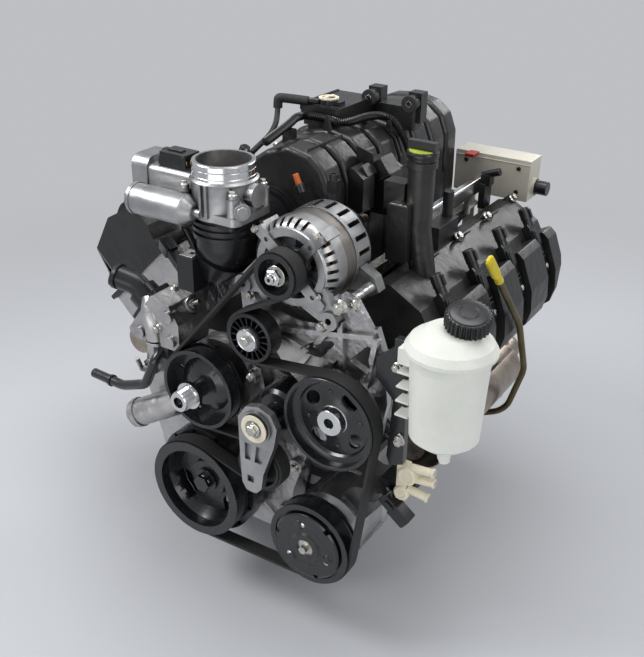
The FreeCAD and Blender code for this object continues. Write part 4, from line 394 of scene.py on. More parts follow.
# %% First coat on every node
COATS = {name: coat for coat, names in (
    (grey_iron, "engine_block"),
    (rib_rubber, "oil_pan_gasket drive_belt"),
    (cast_alloy, "oil_pan timing_cover cylinder_head_left cylinder_head_right water_pump_body "
                 "water_outlet_housing accessory_bracket"),
    (die_cast, "throttle_body alternator_front_housing alternator_rear_housing tensioner_arm compressor_body"),
    (ground_steel, "crankshaft camshaft crank_sprocket cam_sprocket timing_chain water_pump_rotor "
                   "alternator_rotor"),
    (turned_alloy, "pistons"),
    (black_coat, "crank_damper water_pump_pulley heater_tube alternator_pulley tensioner_case steering_pump "
                 "steering_pulley reservoir_bracket compressor_pulley compressor_clutch_plate"),
    (black_nylon, "valve_cover_left valve_cover_right intake_manifold oil_filler_tube"),
    (gloss_nylon, "coil_packs_left coil_packs_right intake_neck fuel_injectors water_outlet_neck "
                  "alternator_rear_cover idler_pulley tensioner_pulley reservoir_cap compressor_connectors "
                  "oil_filler_cap wiring_conduit"),
    (tinted_steel, "exhaust_manifold_left exhaust_manifold_right heat_shield_left"),
    (dull_brass, "throttle_plate"),
    (zinc_plate, "fuel_rail compressor_shaft"),
    (lamination, "alternator_stator"),
    (milk_plastic, "fluid_reservoir"),
    (yellow_plastic, "dipstick"),
    (olive_plate, "dipstick_tube"),
    (cream_sheet, "rear_module_box"),
) for name in names.split()}
for name, coat in COATS.items():
    NODES[name].data.materials.clear()
    NODES[name].data.materials.append(coat)

ROUNDED = ["timing_cover", "cylinder_head_left", "cylinder_head_right", "valve_cover_left", "valve_cover_right",
           "coil_packs_left", "coil_packs_right", "intake_manifold", "throttle_body", "water_pump_body",
           "water_outlet_housing", "accessory_bracket", "tensioner_arm", "compressor_body", "engine_block",
           "alternator_front_housing", "alternator_rear_housing", "oil_pan", "rear_module_box",
           "water_pump_pulley", "idler_pulley", "crank_damper", "compressor_clutch_plate",
           "tensioner_case", "heat_shield_left", "oil_filler_tube", "reservoir_bracket"]
# A second finish on one node: the black socket of the throttle, turned hubs, the black end of the box.
PATCHES = {
    "throttle_body": [(gloss_nylon, lambda x, y, z: z > 525 and -67 < x < -27 and -598 < y < -562)],
    "water_pump_pulley": [(turned_alloy, near_hub("pump", -645, 24))],
    "idler_pulley": [(turned_alloy, near_hub("idler", -640, 18))],
    "rear_module_box": [(gloss_nylon, lambda x, y, z: x > 284.2)],
}
for name in ROUNDED:
    fine = name.endswith("pulley") or name.endswith("plate")
    rounded_copy(name, COATS[name], 0.5 if fine else 0.8, patches=PATCHES.get(name, ()))
print(len(ROUNDED), "castings and pressings with rounded edges")

# %% [markdown]
# ## Shapes for the added pieces
# Turned parts, pressings, mouldings and hoses are all rings of points joined by quads. One small class builds
# them in millimetres, and each finished piece gets rounded edges like the castings.

# %% Shape builder
def frame_of(axis, spin=0.0):
    """Rotation whose third column is the axis, turned about it by the spin in degrees."""
    turned = Vector(axis).normalized().to_track_quat("Z", "Y").to_matrix()
    return turned @ Matrix.Rotation(radians(spin), 3, "Z")


class Shape:
    """A mesh in the making: rings of points joined to solids, each with its paint."""

    def __init__(self):
        self.work = bmesh.new()
        self.paints = []

    def loft(self, rings, paint, wrap=False):
        """Solid through rings of points, closed with end faces, or end to end when it wraps."""
        if paint not in self.paints:
            self.paints.append(paint)
        index = self.paints.index(paint)
        rows = [[self.work.verts.new(Vector(point) * MM) for point in ring] for ring in rings]
        made = []
        pairs = list(zip(rows, rows[1:])) + ([(rows[-1], rows[0])] if wrap else [])
        for first, second in pairs:
            count = len(first)
            for i in range(count):
                j = (i + 1) % count
                made.append(self.work.faces.new((first[i], first[j], second[j], second[i])))
        if not wrap:
            made.append(self.work.faces.new(rows[0]))
            made.append(self.work.faces.new(rows[-1]))
        for face in made:
            face.material_index = index
        bmesh.ops.recalc_face_normals(self.work, faces=made)

    def turned(self, profile, spot, axis, paint, steps=48, wrap=False, spin=0.0):
        """Ring of (radius, height) points round an axis through the spot."""
        basis = frame_of(axis, spin)
        rings = []
        for radius, height in profile:
            ring = []
            for i in range(steps):
                a = 2 * pi * i / steps
                ring.append(Vector(spot) + basis @ Vector((radius * cos(a), radius * sin(a), height)))
            rings.append(ring)
        self.loft(rings, paint, wrap=wrap)

    def box(self, low, high, paint):
        (x0, y0, z0), (x1, y1, z1) = low, high
        self.loft([[(x0, y0, z), (x1, y0, z), (x1, y1, z), (x0, y1, z)] for z in (z0, z1)], paint)

    def rod(self, start, end, radius, paint, steps=24, end_radius=None):
        axis = Vector(end) - Vector(start)
        far = radius if end_radius is None else end_radius
        self.turned([(radius, 0), (far, axis.length)], start, axis, paint, steps)

    def hexagon(self, spot, axis, across, low, high, paint, spin=0.0):
        half = across / 2
        edge = min(half * 0.16, (high - low) * 0.4)
        corner = half / cos(pi / 6)
        self.turned([(corner, low), (corner, high - edge), (corner - edge, high)], spot, axis, paint, 6,
                    spin=spin)

    def pipe(self, points, radius, paint, steps=20, wrap=False):
        """Tube along the points, its cross section carried without twist."""
        points = [Vector(p) for p in points]
        count = len(points)
        radii = radius if isinstance(radius, (list, tuple)) else [radius] * count
        side = None
        rings = []
        for i, point in enumerate(points):
            before = points[i - 1] if i or wrap else point
            after = points[(i + 1) % count] if i < count - 1 or wrap else point
            along = (after - before).normalized()
            if side is None:
                side = along.orthogonal().normalized()
            side = (side - along * side.dot(along)).normalized()
            other = along.cross(side)
            rings.append([point + (side * cos(a) + other * sin(a)) * radii[i]
                          for a in (2 * pi * k / steps for k in range(steps))])
        self.loft(rings, paint, wrap=wrap)

    def mesh(self, name):
        mesh = bpy.data.meshes.new(name)
        self.work.to_mesh(mesh)
        self.work.free()
        for paint in self.paints:
            mesh.materials.append(paint)
        return mesh

    def piece(self, name, body, slot=None, nodes=(), edge_mm=0.4, sharp=32.0, steps=2):
        mesh = self.mesh(name)
        return place(finished(name, mesh, sharp, edge_mm, steps), body, slot, nodes)


def curve_through(points, rounds=3):
    """Soft line near the points: corners are cut again and again, the ends stay."""
    line = [Vector(p) for p in points]
    for _ in range(rounds):
        cut = [line[0]]
        for a, b in zip(line, line[1:]):
            cut += [a.lerp(b, 0.25), a.lerp(b, 0.75)]
        line = cut + [line[-1]]
    return line


def rounded_outline(half_u, half_v, corner, steps=5):
    """Rectangle with round corners."""
    outline = []
    for k, (su, sv) in enumerate(((1, 1), (-1, 1), (-1, -1), (1, -1))):
        for i in range(steps + 1):
            a = pi / 2 * (k + i / steps)
            outline.append((su * (half_u - corner) + corner * cos(a),
                            sv * (half_v - corner) + corner * sin(a)))
    return outline


print("shape builder ready")

# %% [markdown]
# ## Screws
# The engine is held together by flanged hexagon screws in a few sizes. Every one is the same head, scaled and
# turned, so one node tree puts a head on each point of a mesh: the point's attributes give the direction and
# the size. The tree ends in real geometry, which the export needs.

# %% Helpers for node trees
def times(tree, source, factor):
    """Output of a node that multiplies a value."""
    return add(tree, "ShaderNodeMath", {1: factor}, {0: source}, operation="MULTIPLY").outputs[0]


def tree_with(name, inputs, output):
    """Geometry node tree with named inputs, and the outputs of its input node."""
    tree = bpy.data.node_groups.new(name, "GeometryNodeTree")
    for label, kind in inputs.items():
        tree.interface.new_socket(label, in_out="INPUT", socket_type="NodeSocket" + kind)
    tree.interface.new_socket(output, in_out="OUTPUT", socket_type="NodeSocketGeometry")
    return tree, add(tree, "NodeGroupInput").outputs


def closed(tree, geometry, paint):
    """Ends a tree in real geometry with its material."""
    real = add(tree, "GeometryNodeRealizeInstances", links={0: geometry})
    painted = add(tree, "GeometryNodeSetMaterial", links={0: real, "Material": paint})
    add(tree, "NodeGroupOutput", links={0: painted})
    return tree


# %% The node tree for screw heads
def screw_tree():
    """Flanged hexagon head with a dished top on every point."""
    inputs = {"Points": "Geometry", "Across flats": "Float", "Head height": "Float", "Flange radius": "Float",
              "Paint": "Material"}
    tree, given = tree_with("flanged_screws", inputs, "Screws")
    across, height = given["Across flats"], given["Head height"]
    radius = times(tree, across, 0.577)
    head = add(tree, "GeometryNodeMeshCylinder", {"Vertices": 6}, {"Radius": radius, "Depth": height})
    up = add(tree, "ShaderNodeCombineXYZ", links={"Z": times(tree, height, 0.5)})
    lifted = add(tree, "GeometryNodeTransform",
                 links={"Geometry": head.outputs["Mesh"], "Translation": up})
    flange = add(tree, "GeometryNodeMeshCone", {"Vertices": 28},
                 {"Radius Bottom": given["Flange radius"], "Radius Top": radius, "Depth": times(tree, height, 0.3)})
    dish_radius = times(tree, across, 0.38)
    dish = add(tree, "GeometryNodeMeshCone", {"Vertices": 20},
               {"Radius Bottom": dish_radius, "Radius Top": times(tree, dish_radius, 0.8),
                "Depth": times(tree, height, 0.12)})
    top = add(tree, "ShaderNodeCombineXYZ", links={"Z": height})
    crown = add(tree, "GeometryNodeTransform",
                links={"Geometry": dish.outputs["Mesh"], "Translation": top})
    whole = add(tree, "GeometryNodeJoinGeometry")
    for part in (lifted.outputs[0], flange.outputs["Mesh"], crown.outputs[0]):
        tree.links.new(part, whole.inputs[0])
    axis = add(tree, "GeometryNodeInputNamedAttribute", {"Name": "axis"}, data_type="FLOAT_VECTOR")
    size = add(tree, "GeometryNodeInputNamedAttribute", {"Name": "size"}, data_type="FLOAT")
    facing = add(tree, "FunctionNodeAlignRotationToVector", links={"Vector": axis}, axis="Z")
    heads = add(tree, "GeometryNodeInstanceOnPoints",
                links={"Points": given["Points"], "Instance": whole,
                       "Rotation": facing, "Scale": size})
    return closed(tree, heads, given["Paint"])


SCREWS = screw_tree()


def shown_mesh(obj):
    """Plain mesh that an object shows with its modifiers. The object and its modifiers are removed."""
    bpy.context.view_layer.update()
    made = bpy.data.meshes.new_from_object(obj.evaluated_get(bpy.context.evaluated_depsgraph_get()))
    obj.modifiers.clear()
    bpy.data.objects.remove(obj)
    return made


def grown(name, mesh, tree, settings):
    """Runs a node tree on a mesh and returns the plain mesh that it makes."""
    seed = in_scene(name + "_seed", mesh)
    modifier = seed.modifiers.new("tree", "NODES")
    modifier.node_group = tree
    for item in tree.interface.items_tree:
        if item.in_out == "INPUT" and item.name in settings:
            modifier[item.identifier] = settings[item.name]
    made = shown_mesh(seed)
    made.name = name
    return made


def screws(name, body, spots, paint, across=10.0, height=6.5, flange=7.6, slot="plated_steel"):
    """Screw heads on a body: each spot is a place, an outward direction and a scale."""
    points = bpy.data.meshes.new(name + "_points")
    points.from_pydata([Vector(spot[0]) * MM for spot in spots], [], [])
    axes = points.attributes.new("axis", "FLOAT_VECTOR", "POINT")
    axes.data.foreach_set("vector", [c for spot in spots for c in Vector(spot[1]).normalized()])
    sizes = points.attributes.new("size", "FLOAT", "POINT")
    sizes.data.foreach_set("value", [spot[2] for spot in spots])
    made = grown(name, points, SCREWS, {"Across flats": across * MM, "Head height": height * MM,
                                        "Flange radius": flange * MM, "Paint": paint})
    return place(finished(name, made, 32.0, 0.35, 2), body, slot)


# %% Where the screws sit
FRONT = (0, -1, 0)
SKY = (0, 0, 1)
HALF = sqrt(0.5)
BORE_Y = (-435.0, -321.7, -208.4, -95.1)
STAGGER = 24.0

timing_spots = [((x, -566, z), FRONT, 1.0) for x, z in
                ((-128, -40), (128, -40), (-146, 60), (-150, 150), (150, 60))]
pump_spots = [((x, -592, z), FRONT, 1.0) for x, z in ((-118, 172), (-60, 204), (84, 218), (60, 150))]
bracket_spots = [((91.7, -596, 364.4), FRONT, 1.0), ((222.5, -604, 352.3), FRONT, 1.15),
                 ((264.1, -586, 388.3), FRONT, 1.15), ((341.6, -601, 323.6), FRONT, 1.0),
                 ((352, -601, 208), FRONT, 1.15), ((-87.4, -606, 259.2), FRONT, 1.1)]
for name, spots in (("timing_cover_screws", timing_spots), ("pump_screws", pump_spots),
                    ("bracket_screws", bracket_spots)):
    screws(name, "engine", spots, zinc_plate)
throttle_spots = [((x, y, 520), SKY, 1.0) for x, y in ((-4, -617), (82, -617), (84, -549), (-4, -547))]
screws("throttle_screws", "engine", throttle_spots, zinc_plate, across=8.0, height=5.5, flange=6.4)
outlet_spots = [((-87.8, -559, 312.8), (0.32, 0, 0.95), 1.0)]
screws("outlet_screws", "engine", outlet_spots, zinc_plate)
print(len(timing_spots + pump_spots + bracket_spots + throttle_spots + outlet_spots), "screws")

# %% [markdown]
# ## The belt
# The multi-rib belt runs in a loop over seven pulleys, five with its ribs and two with its smooth back. The
# line is the common tangents and the arcs between them, worked out from the pulley centres and radii. The
# section is seven small ribs on the inner side, so the grooves show where the belt bends away.

# %% Belt line
BELT_FRONT, BELT_REAR = -636.0, -612.0
BELT_SEAT, BELT_THICK = 0.3, 4.4
RIB_DEPTH, RIB_PITCH = 1.7, 3.4
GROOVE_DEPTH = 2.6
ROUTE = ("crank", "compressor", "steering", "idler", "alternator", "pump", "tensioner")


def belt_circle(name):
    """Centre and signed radius of the belt's inner face on a pulley."""
    if name in RIB_PULLEYS:
        x, z, rim = RIB_PULLEYS[name]
        return x, z, rim - GROOVE_DEPTH + BELT_SEAT
    x, z, rim = BACK_PULLEYS[name]
    return x, z, -(rim + BELT_SEAT + BELT_THICK)


def tangent_angle(first, second):
    """Direction from a centre to the point where the straight run leaves it."""
    dx, dz = second[0] - first[0], second[1] - first[1]
    swing = asin((first[2] - second[2]) / hypot(dx, dz))
    return atan2(dz, dx) + swing - pi / 2


circles = [belt_circle(name) for name in ROUTE]
angles = [tangent_angle(circles[i], circles[(i + 1) % len(circles)]) for i in range(len(circles))]
line = []
arcs = {}
for i, (x, z, r) in enumerate(circles):
    start, end = angles[i - 1], angles[i]
    turn = (end - start) % (2 * pi)
    if r < 0:
        turn -= 2 * pi
    steps = max(6, int(abs(turn) / radians(5)))
    for k in range(steps + 1):
        a = start + turn * k / steps
        line.append((x + r * cos(a), z + r * sin(a), cos(a), sin(a)))
    arcs[ROUTE[i]] = line[-steps - 1:]
print("belt line of", len(line), "points,",
      round(sum(dist(line[i - 1][:2], line[i][:2]) for i in range(len(line)))), "mm round")

# %% Belt with ribs
section = [(BELT_REAR, BELT_THICK), (BELT_FRONT, BELT_THICK)]
ribs = int((BELT_REAR - BELT_FRONT) / RIB_PITCH)
for k in range(ribs):
    y = BELT_FRONT + RIB_PITCH * k
    section += [(y + 0.3, 0.0), (y + 1.25, 0.0), (y + 1.9, RIB_DEPTH), (y + 2.9, RIB_DEPTH)]
section = section[:-1] + [(BELT_REAR, 0.0)]


def belt_strip(name, points, body=None):
    """Length of belt along the points, riding on one body, or on no body when none is given."""
    strip = Shape()
    strip.loft([[(x + u * h, y, z + v * h) for y, h in section] for x, z, u, v in points], rib_rubber)
    nodes = ["drive_belt"] if name == "ribbed_belt" else []
    if body:
        return strip.piece(name, body, "belt_rubber", nodes, edge_mm=0)
    obj = finished(name, strip.mesh(name), 32.0, 0, 1)
    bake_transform(obj)
    return obj


def straight_run(first, second, steps=14):
    return [tuple(p + (q - p) * k / steps for p, q in zip(first, second)) for k in range(steps + 1)]


# The arc on the tensioner's pulley moves with its arm; the spans beside it stand on no body.
wrap = arcs["tensioner"]
rest_of_belt = [point for name in ROUTE[:-1] for point in arcs[name]]
belt_strip("ribbed_belt", rest_of_belt, body="engine")
belt_strip("belt_on_tensioner", wrap, body="tensioner")
belt_strip("belt_from_pump", straight_run(rest_of_belt[-1], wrap[0]))
belt_strip("belt_to_crank", straight_run(wrap[-1], rest_of_belt[0]))
print("belt section of", len(section), "points")

# %% Grooves on the ribbed pulleys
GROOVE_BODIES = {"crank": "crank", "compressor": "compressor_rim", "steering": "steering_spindle",
                 "alternator": "alternator_spindle", "pump": "water_pump"}
for name, body in GROOVE_BODIES.items():
    x, z, rim = RIB_PULLEYS[name]
    seat = rim - GROOVE_DEPTH
    band = Shape()
    for k in range(ribs - 1):
        y = -BELT_FRONT - 2.475 - RIB_PITCH * k
        ridge = [(seat - 0.3, y - 1.0), (seat + 1.4, y - 0.3), (seat + 1.4, y + 0.3), (seat - 0.3, y + 1.0)]
        band.turned(ridge, (x, 0, z), FRONT, black_coat, 72, wrap=True)
    band.piece(name + "_grooves", body, SLOT_OF["crank_damper"], edge_mm=0)
print("grooves on", len(GROOVE_BODIES), "pulleys")

# %% [markdown]
# ## Throttle body
# The inlet collar is turned bright on the outside, with a step and two fine grooves. They could be bumps, but
# they catch the light at the rim, so the collar is a turned ring over the casting. The end of the drive motor is
# a stepped cone, and the socket is an open black shell with pins.

# %% Throttle details
throttle = Shape()
collar = [(45.6, 533), (46.9, 533), (46.9, 537), (46.3, 537.6), (46.3, 546), (45.9, 546.4), (45.9, 547.2),
          (46.3, 547.6), (46.3, 554.6), (45.4, 555.9), (41.3, 555.9), (40.3, 554.8), (40.3, 552), (45.0, 550)]
throttle.turned(collar, (40, -581, 0), SKY, turned_alloy, 96, wrap=True)
throttle.turned([(23.4, -14), (23.4, 2), (22.4, 3), (17.5, 8), (12, 10), (12, 15), (11, 16.5)],
                (8, -631, 487), (1, 0, 0), die_cast, 48)
throttle.turned([(24.2, 0), (24.2, 5)], (-86, -631, 487), (1, 0, 0), die_cast, 48)
throttle.rod((76, -600, 498), (99, -618, 498), 12, die_cast, 36)
throttle.rod((98, -617.2, 498), (101, -619.6, 498), 9.5, die_cast, 36, 8)
throttle.piece("throttle_collar_and_motor_end", "engine", SLOT_OF["throttle_body"], edge_mm=0.3)
socket = Shape()
socket.turned([(16.5, -70), (16.5, -64), (15, -63)], (0, -580, 537), (1, 0, 0), gloss_nylon, 36)
for low, high in (((-29, -597, 549), (-19, -563, 552)), ((-29, -597, 526), (-19, -563, 529)),
                  ((-29, -597, 529), (-19, -594, 549)), ((-29, -566, 529), (-19, -563, 549))):
    socket.box(low, high, gloss_nylon)
# Painted shade: a dark sheet inside the socket shell.
socket.box((-28.6, -594, 529), (-27.6, -566, 549), hole_shade_paint)
socket.box((-60, -585, 552), (-34, -575, 554), gloss_nylon)
for k in range(3):
    socket.box((-28, -590 + 9 * k, 536), (-22, -588 + 9 * k, 542), brass_plate)
socket.piece("throttle_socket", "engine", "black_plastic", edge_mm=0.6)
print("throttle collar, motor end and socket")

# %% [markdown]
# ## Alternator
# Behind the slots of the front housing the copper end turns of the stator show as an orange ring. Every wire
# could be drawn, but little of them shows, so they are a tube round the rotor whose radius swells and shrinks,
# as a lacquered bundle of wires does. Nut, washer and terminal are turned rings and a hexagon.

# %% Windings, nut and screws
ALT_X, _, ALT_Z = ALTERNATOR = centre("alternator")


def circle_points(x, z, y, radius, count):
    return [(x + radius * cos(a), y, z + radius * sin(a)) for a in
            (2 * pi * k / count for k in range(count))]


copper = Shape()
swell = [4.6 + 1.4 * (k % 4 < 2) for k in range(144)]
copper.pipe(circle_points(ALT_X, ALT_Z, -576, 57.5, 144), swell, copper_wire, 14, wrap=True)
copper.piece("stator_end_turns", "engine", SLOT_OF["alternator_stator"], edge_mm=0)
nut = Shape()
nut.turned([(15.5, 633.5), (15.5, 635.4), (14.5, 636.2)], ALTERNATOR, FRONT, zinc_plate, 40)
nut.hexagon(ALTERNATOR, FRONT, 22, 636, 645, turned_alloy, 12)
nut.turned([(9.2, 644.5), (9.2, 646), (7.2, 646.8), (7.2, 651), (6.4, 652)], ALTERNATOR, FRONT, turned_alloy, 32)
# Painted shade: a dark hexagonal disc at the end of the spindle.
nut.turned([(3.2, 651.5), (3.2, 652.15)], ALTERNATOR, FRONT, hole_shade_paint, 6)
nut.piece("alternator_nut", "alternator_spindle", "plated_steel", edge_mm=0.3)
alternator_spots = [((108.7, -603, 471.9), FRONT, 1.0), ((210.9, -601.6, 484.1), FRONT, 1.0),
                    ((213.9, -601.9, 394.7), FRONT, 0.9), ((252.2, -604, 390.1), FRONT, 1.5)]
screws("alternator_screws", "engine", alternator_spots[:3], zinc_plate, 8, 4.5, 6.2)
screws("alternator_mount_screw", "engine", alternator_spots[3:], zinc_plate)
print("windings, nut and", len(alternator_spots), "screws")

# %% Rear of the alternator
rear = Shape()
rear.turned([(9.5, 466.5), (9.5, 456), (8, 454.5)], (ALT_X + 30, 0, ALT_Z + 34), FRONT, gloss_nylon, 28)
rear.turned([(5, 454), (5, 447), (4, 446)], (ALT_X + 30, 0, ALT_Z + 34), FRONT, copper_wire, 20)
for k in range(24):
    a = radians(15 * k)
    rear.rod((ALT_X + 30 * cos(a), -468.2, ALT_Z + 30 * sin(a)),
             (ALT_X + 44 * cos(a), -466.9, ALT_Z + 44 * sin(a)), 1.5, gloss_nylon, 8)
rear.piece("alternator_terminal_and_fins", "engine", "black_plastic", edge_mm=0.3)
print("alternator terminal")

# %% [markdown]
# ## Coil packs
# One coil sits over each cylinder, between the bosses of the cover. It has a screw, a raised lid and a round
# socket that points up and inwards. The positions are on a bank whose across and up directions stand at 45
# degrees, so a small function turns them into the frame.

# %% Places on a bank
def on_bank(side, across, y, up):
    """Point of a bank: across to the outside, up along the bores."""
    sign = 1 if side == "left" else -1
    return Vector((sign * (up + across) * HALF, y + (0 if side == "left" else STAGGER), (up - across) * HALF))


def bank_axis(side, across, up):
    """Direction on a bank, as a unit vector of the frame."""
    return (on_bank(side, across, 0, up) - on_bank(side, 0, 0, 0)).normalized()


def pad(shape, spot, across, axis, half_u, half_v, low, high, corner, paint):
    """Rounded plate at a spot: its first side runs across, its thickness along the axis."""
    u = Vector(across).normalized()
    v = Vector(axis).normalized().cross(u)
    rings = []
    for height in (low, high):
        base = Vector(spot) + Vector(axis).normalized() * height
        rings.append([base + u * a + v * b for a, b in rounded_outline(half_u, half_v, corner)])
    shape.loft(rings, paint)


# %% Coils of both banks
for side in ("left", "right"):
    coils = Shape()
    coil_spots = []
    for y in BORE_Y:
        slope, normal = bank_axis(side, 40, -13), bank_axis(side, 13, 40)
        pad(coils, on_bank(side, -4, y, 484.5), slope, normal, 15, 10.5, -1, 3.2, 3, gloss_nylon)
        pad(coils, on_bank(side, -4, y, 484.5), slope, normal, 11, 6.5, 3.0, 4.4, 2, black_nylon)
        mouth = on_bank(side, -58, y, 496)
        into = (mouth - on_bank(side, -27, y, 486)).normalized()
        coils.turned([(8.6, -22), (9.6, -21), (9.6, -1.2), (8.8, -0.2), (6.6, -0.2), (6.4, -1)],
                     mouth + into * 0.4, into, gloss_nylon, 32)
        # Painted shade: a dark disc inside the mouth of the socket.
        coils.turned([(6.3, -0.4), (6.3, 0.1)], mouth, into, hole_shade_paint, 24)
        lock = on_bank(side, -44, y, 502.5)
        pad(coils, lock, into, normal, 8, 3.2, -3.4, 1.6, 1, gloss_nylon)
        screw_axis = bank_axis(side, 17, 42)
        coil_spots.append((on_bank(side, 46, y, 465.6), screw_axis, 0.85))
        for across in (24, 31):
            rib = on_bank(side, across, y, 476.0 - 0.4 * (across - 24))
            pad(coils, rib, (0, 1, 0), screw_axis, 9, 1.4, -3, 2.2, 1, gloss_nylon)
    coils.piece("coil_details_" + side, "engine", SLOT_OF["coil_packs_left"], edge_mm=0.5)
    screws("coil_screws_" + side, "engine", coil_spots, zinc_plate)
    boss_spots = [(on_bank(side, -84, y + 52, 465), bank_axis(side, 0, 1), 1.0) for y in BORE_Y]
    screws("cover_screws_" + side, "engine", boss_spots, zinc_plate)
    print("coils and cover screws,", side)

# %% Wire hoops and webs on the covers
for side in ("left", "right"):
    hoops = Shape()
    for y in BORE_Y[:3]:
        for offset in (34, 70):
            foot = on_bank(side, -80, y + offset, 460)
            loop = [foot + Vector((0, d, 0)) + bank_axis(side, 0, 1) * h for d, h in
                    ((-6, 0), (-7, 8), (-4, 15), (0, 17), (4, 15), (7, 8), (6, 0))]
            hoops.pipe(curve_through(loop, 2), 1.7, black_nylon, 10)
    hoops.piece("cover_hoops_" + side, "engine", SLOT_OF["valve_cover_left"], edge_mm=0)
print("hoops on the covers")

# %% [markdown]
# ## Hoses
# The wiring runs in a ribbed conduit, a nylon tube that bends because its wall steps in and out. The ribs could
# be a bump, but the outline shows them, so they are real: a node tree resamples the line at half the pitch and
# gives every second point the larger radius. The pitch is 3.2 mm, where the real one is nearer 2 mm.

# %% The node tree for ribbed hose
def ribbed_hose_tree():
    """Tube along a line, with a radius that steps between two values."""
    inputs = {"Line": "Geometry", "Half pitch": "Float", "Inner radius": "Float", "Outer radius": "Float",
              "Paint": "Material"}
    tree, given = tree_with("ribbed_hose", inputs, "Hose")
    curve = add(tree, "GeometryNodeMeshToCurve", links={0: given["Line"]})
    even = add(tree, "GeometryNodeResampleCurve", links={"Curve": curve, "Length": given["Half pitch"]},
               mode="LENGTH")
    index = add(tree, "GeometryNodeInputIndex")
    odd = add(tree, "ShaderNodeMath", {1: 2.0}, {0: index}, operation="MODULO")
    radius = add(tree, "ShaderNodeMapRange",
                 links={0: odd, 3: given["Inner radius"], 4: given["Outer radius"]})
    thick = add(tree, "GeometryNodeSetCurveRadius", links={"Curve": even, "Radius": radius})
    ring = add(tree, "GeometryNodeCurvePrimitiveCircle", {"Resolution": 18, "Radius": 1.0})
    swept = add(tree, "GeometryNodeCurveToMesh", {"Fill Caps": True},
                {"Curve": thick, "Profile Curve": ring})
    if "Scale" in swept.inputs:
        tree.links.new(radius.outputs[0], swept.inputs["Scale"])
    return closed(tree, swept, given["Paint"])


HOSE = ribbed_hose_tree()


def spline_mesh(name, points):
    """Mesh line along a NURBS spline with these control points."""
    data = bpy.data.curves.new(name, "CURVE")
    data.dimensions = "3D"
    spline = data.splines.new("NURBS")
    spline.points.add(len(points) - 1)
    for target, point in zip(spline.points, points):
        target.co = [c * MM for c in point] + [1.0]
    spline.order_u = 3
    spline.use_endpoint_u = True
    spline.resolution_u = 12
    return shown_mesh(in_scene(name, data))


CONDUIT = [(36, -476, 554), (24, -400, 560), (2, -338, 561), (44, -331, 562), (84, -331, 556), (98, -250, 560),
           (132, -232, 545), (152, -232, 500)]
conduit = grown("ribbed_conduit", spline_mesh("conduit_line", CONDUIT), HOSE,
                {"Half pitch": 1.6 * MM, "Inner radius": 5.3 * MM, "Outer radius": 7.0 * MM, "Paint": gloss_nylon})
conduit_obj = finished("ribbed_conduit", conduit, 70.0, 0, 1)
place(conduit_obj, "engine", SLOT_OF["wiring_conduit"], ["wiring_conduit"])
print("ribbed conduit with", len(conduit.polygons), "faces")

# %% Vent hose and its elbow
vent = Shape()
VENT = [(-40, -335, 577), (-38, -340, 556), (-26, -362, 546), (-20, -388, 534), (-23, -415, 523), (-28, -432, 512)]
vent.pipe([tuple(v.co / MM) for v in spline_mesh("vent_line", VENT).vertices], 4.6, rib_rubber, 18)
ELBOW = [(8, -318, 580), (-18, -326, 581.5), (-38, -334, 582.5), (-40, -335, 580), (-40, -336, 566)]
vent.pipe(curve_through(ELBOW, 2), 7.6, rib_rubber, 24)
vent.rod((-2, -320, 580.2), (24, -311, 579.6), 5.6, gloss_nylon, 24)
vent.rod((-28, -430, 519), (-31, -441, 498), 9, gloss_nylon, 28, 11)
vent.piece("vent_hose", "engine", "black_rubber", edge_mm=0.3)
print("vent hose")

# %% [markdown]
# ## Top of the intake
# The moulded manifold carries a pressure sensor with a pale clip, two rubber grommets with steel sleeves, hose
# guides, small vacuum boxes and ribs. They could be cut from one block with booleans. Separate solids with
# rounded edges, pushed a little into the wall, are quicker to move and show the same seams as the moulding.

# %% Sensor, grommets, guides
top = Shape()
SENSOR_AXIS = (36, -300, 0)
top.turned([(17, 574.5), (17, 584), (15.5, 585.5)], SENSOR_AXIS, SKY, gloss_nylon, 40)
top.box((44, -308, 574.5), (62, -292, 583), gloss_nylon)
top.turned([(11, 585), (16.6, 585), (16.6, 587.2), (11, 587.2)], SENSOR_AXIS, SKY, ivory_nylon, 40, wrap=True)
top.box((32.5, -316, 585.2), (37.5, -284, 588.4), ivory_nylon)
CLIP = [(30, -302, 587), (32, -300, 589.2), (37, -300, 588.6), (44, -299, 589.4)]
top.pipe(curve_through(CLIP, 2), 1.3, ivory_nylon, 10)
for x in (66, 142):
    spot = (x, 0, 575)
    top.turned([(5.2, 224.4), (13.4, 224.4), (14.0, 221), (13.4, 217), (5.2, 217)], spot, FRONT, rib_rubber, 40,
               wrap=True)
    top.turned([(3.8, 224.9), (5.4, 224.9), (5.4, 217), (3.8, 217)], spot, FRONT, turned_alloy, 32, wrap=True)
    # Painted shade: a dark disc inside the sleeve.
    top.turned([(4.0, 222.4), (4.0, 223)], spot, FRONT, hole_shade_paint, 24)
for (x, y, z), height in (((67, -352, 548), 24), ((86, -270, 536), 22), ((120, -246, 536), 14)):
    top.loft([[(x + sx * u, y + sy * v, h) for sx, sy in CORNERS]
              for u, v, h in ((7, 3, z), (2.5, 2, z + height))], black_nylon)
top.box((-4, -318, 574.6), (64, -312, 577), black_nylon)
top.box((-6, -322, 566), (-2, -206, 577), black_nylon)
top.piece("intake_top_details", "engine", SLOT_OF["intake_manifold"], edge_mm=0.6)
print("sensor, grommets and hose guides")

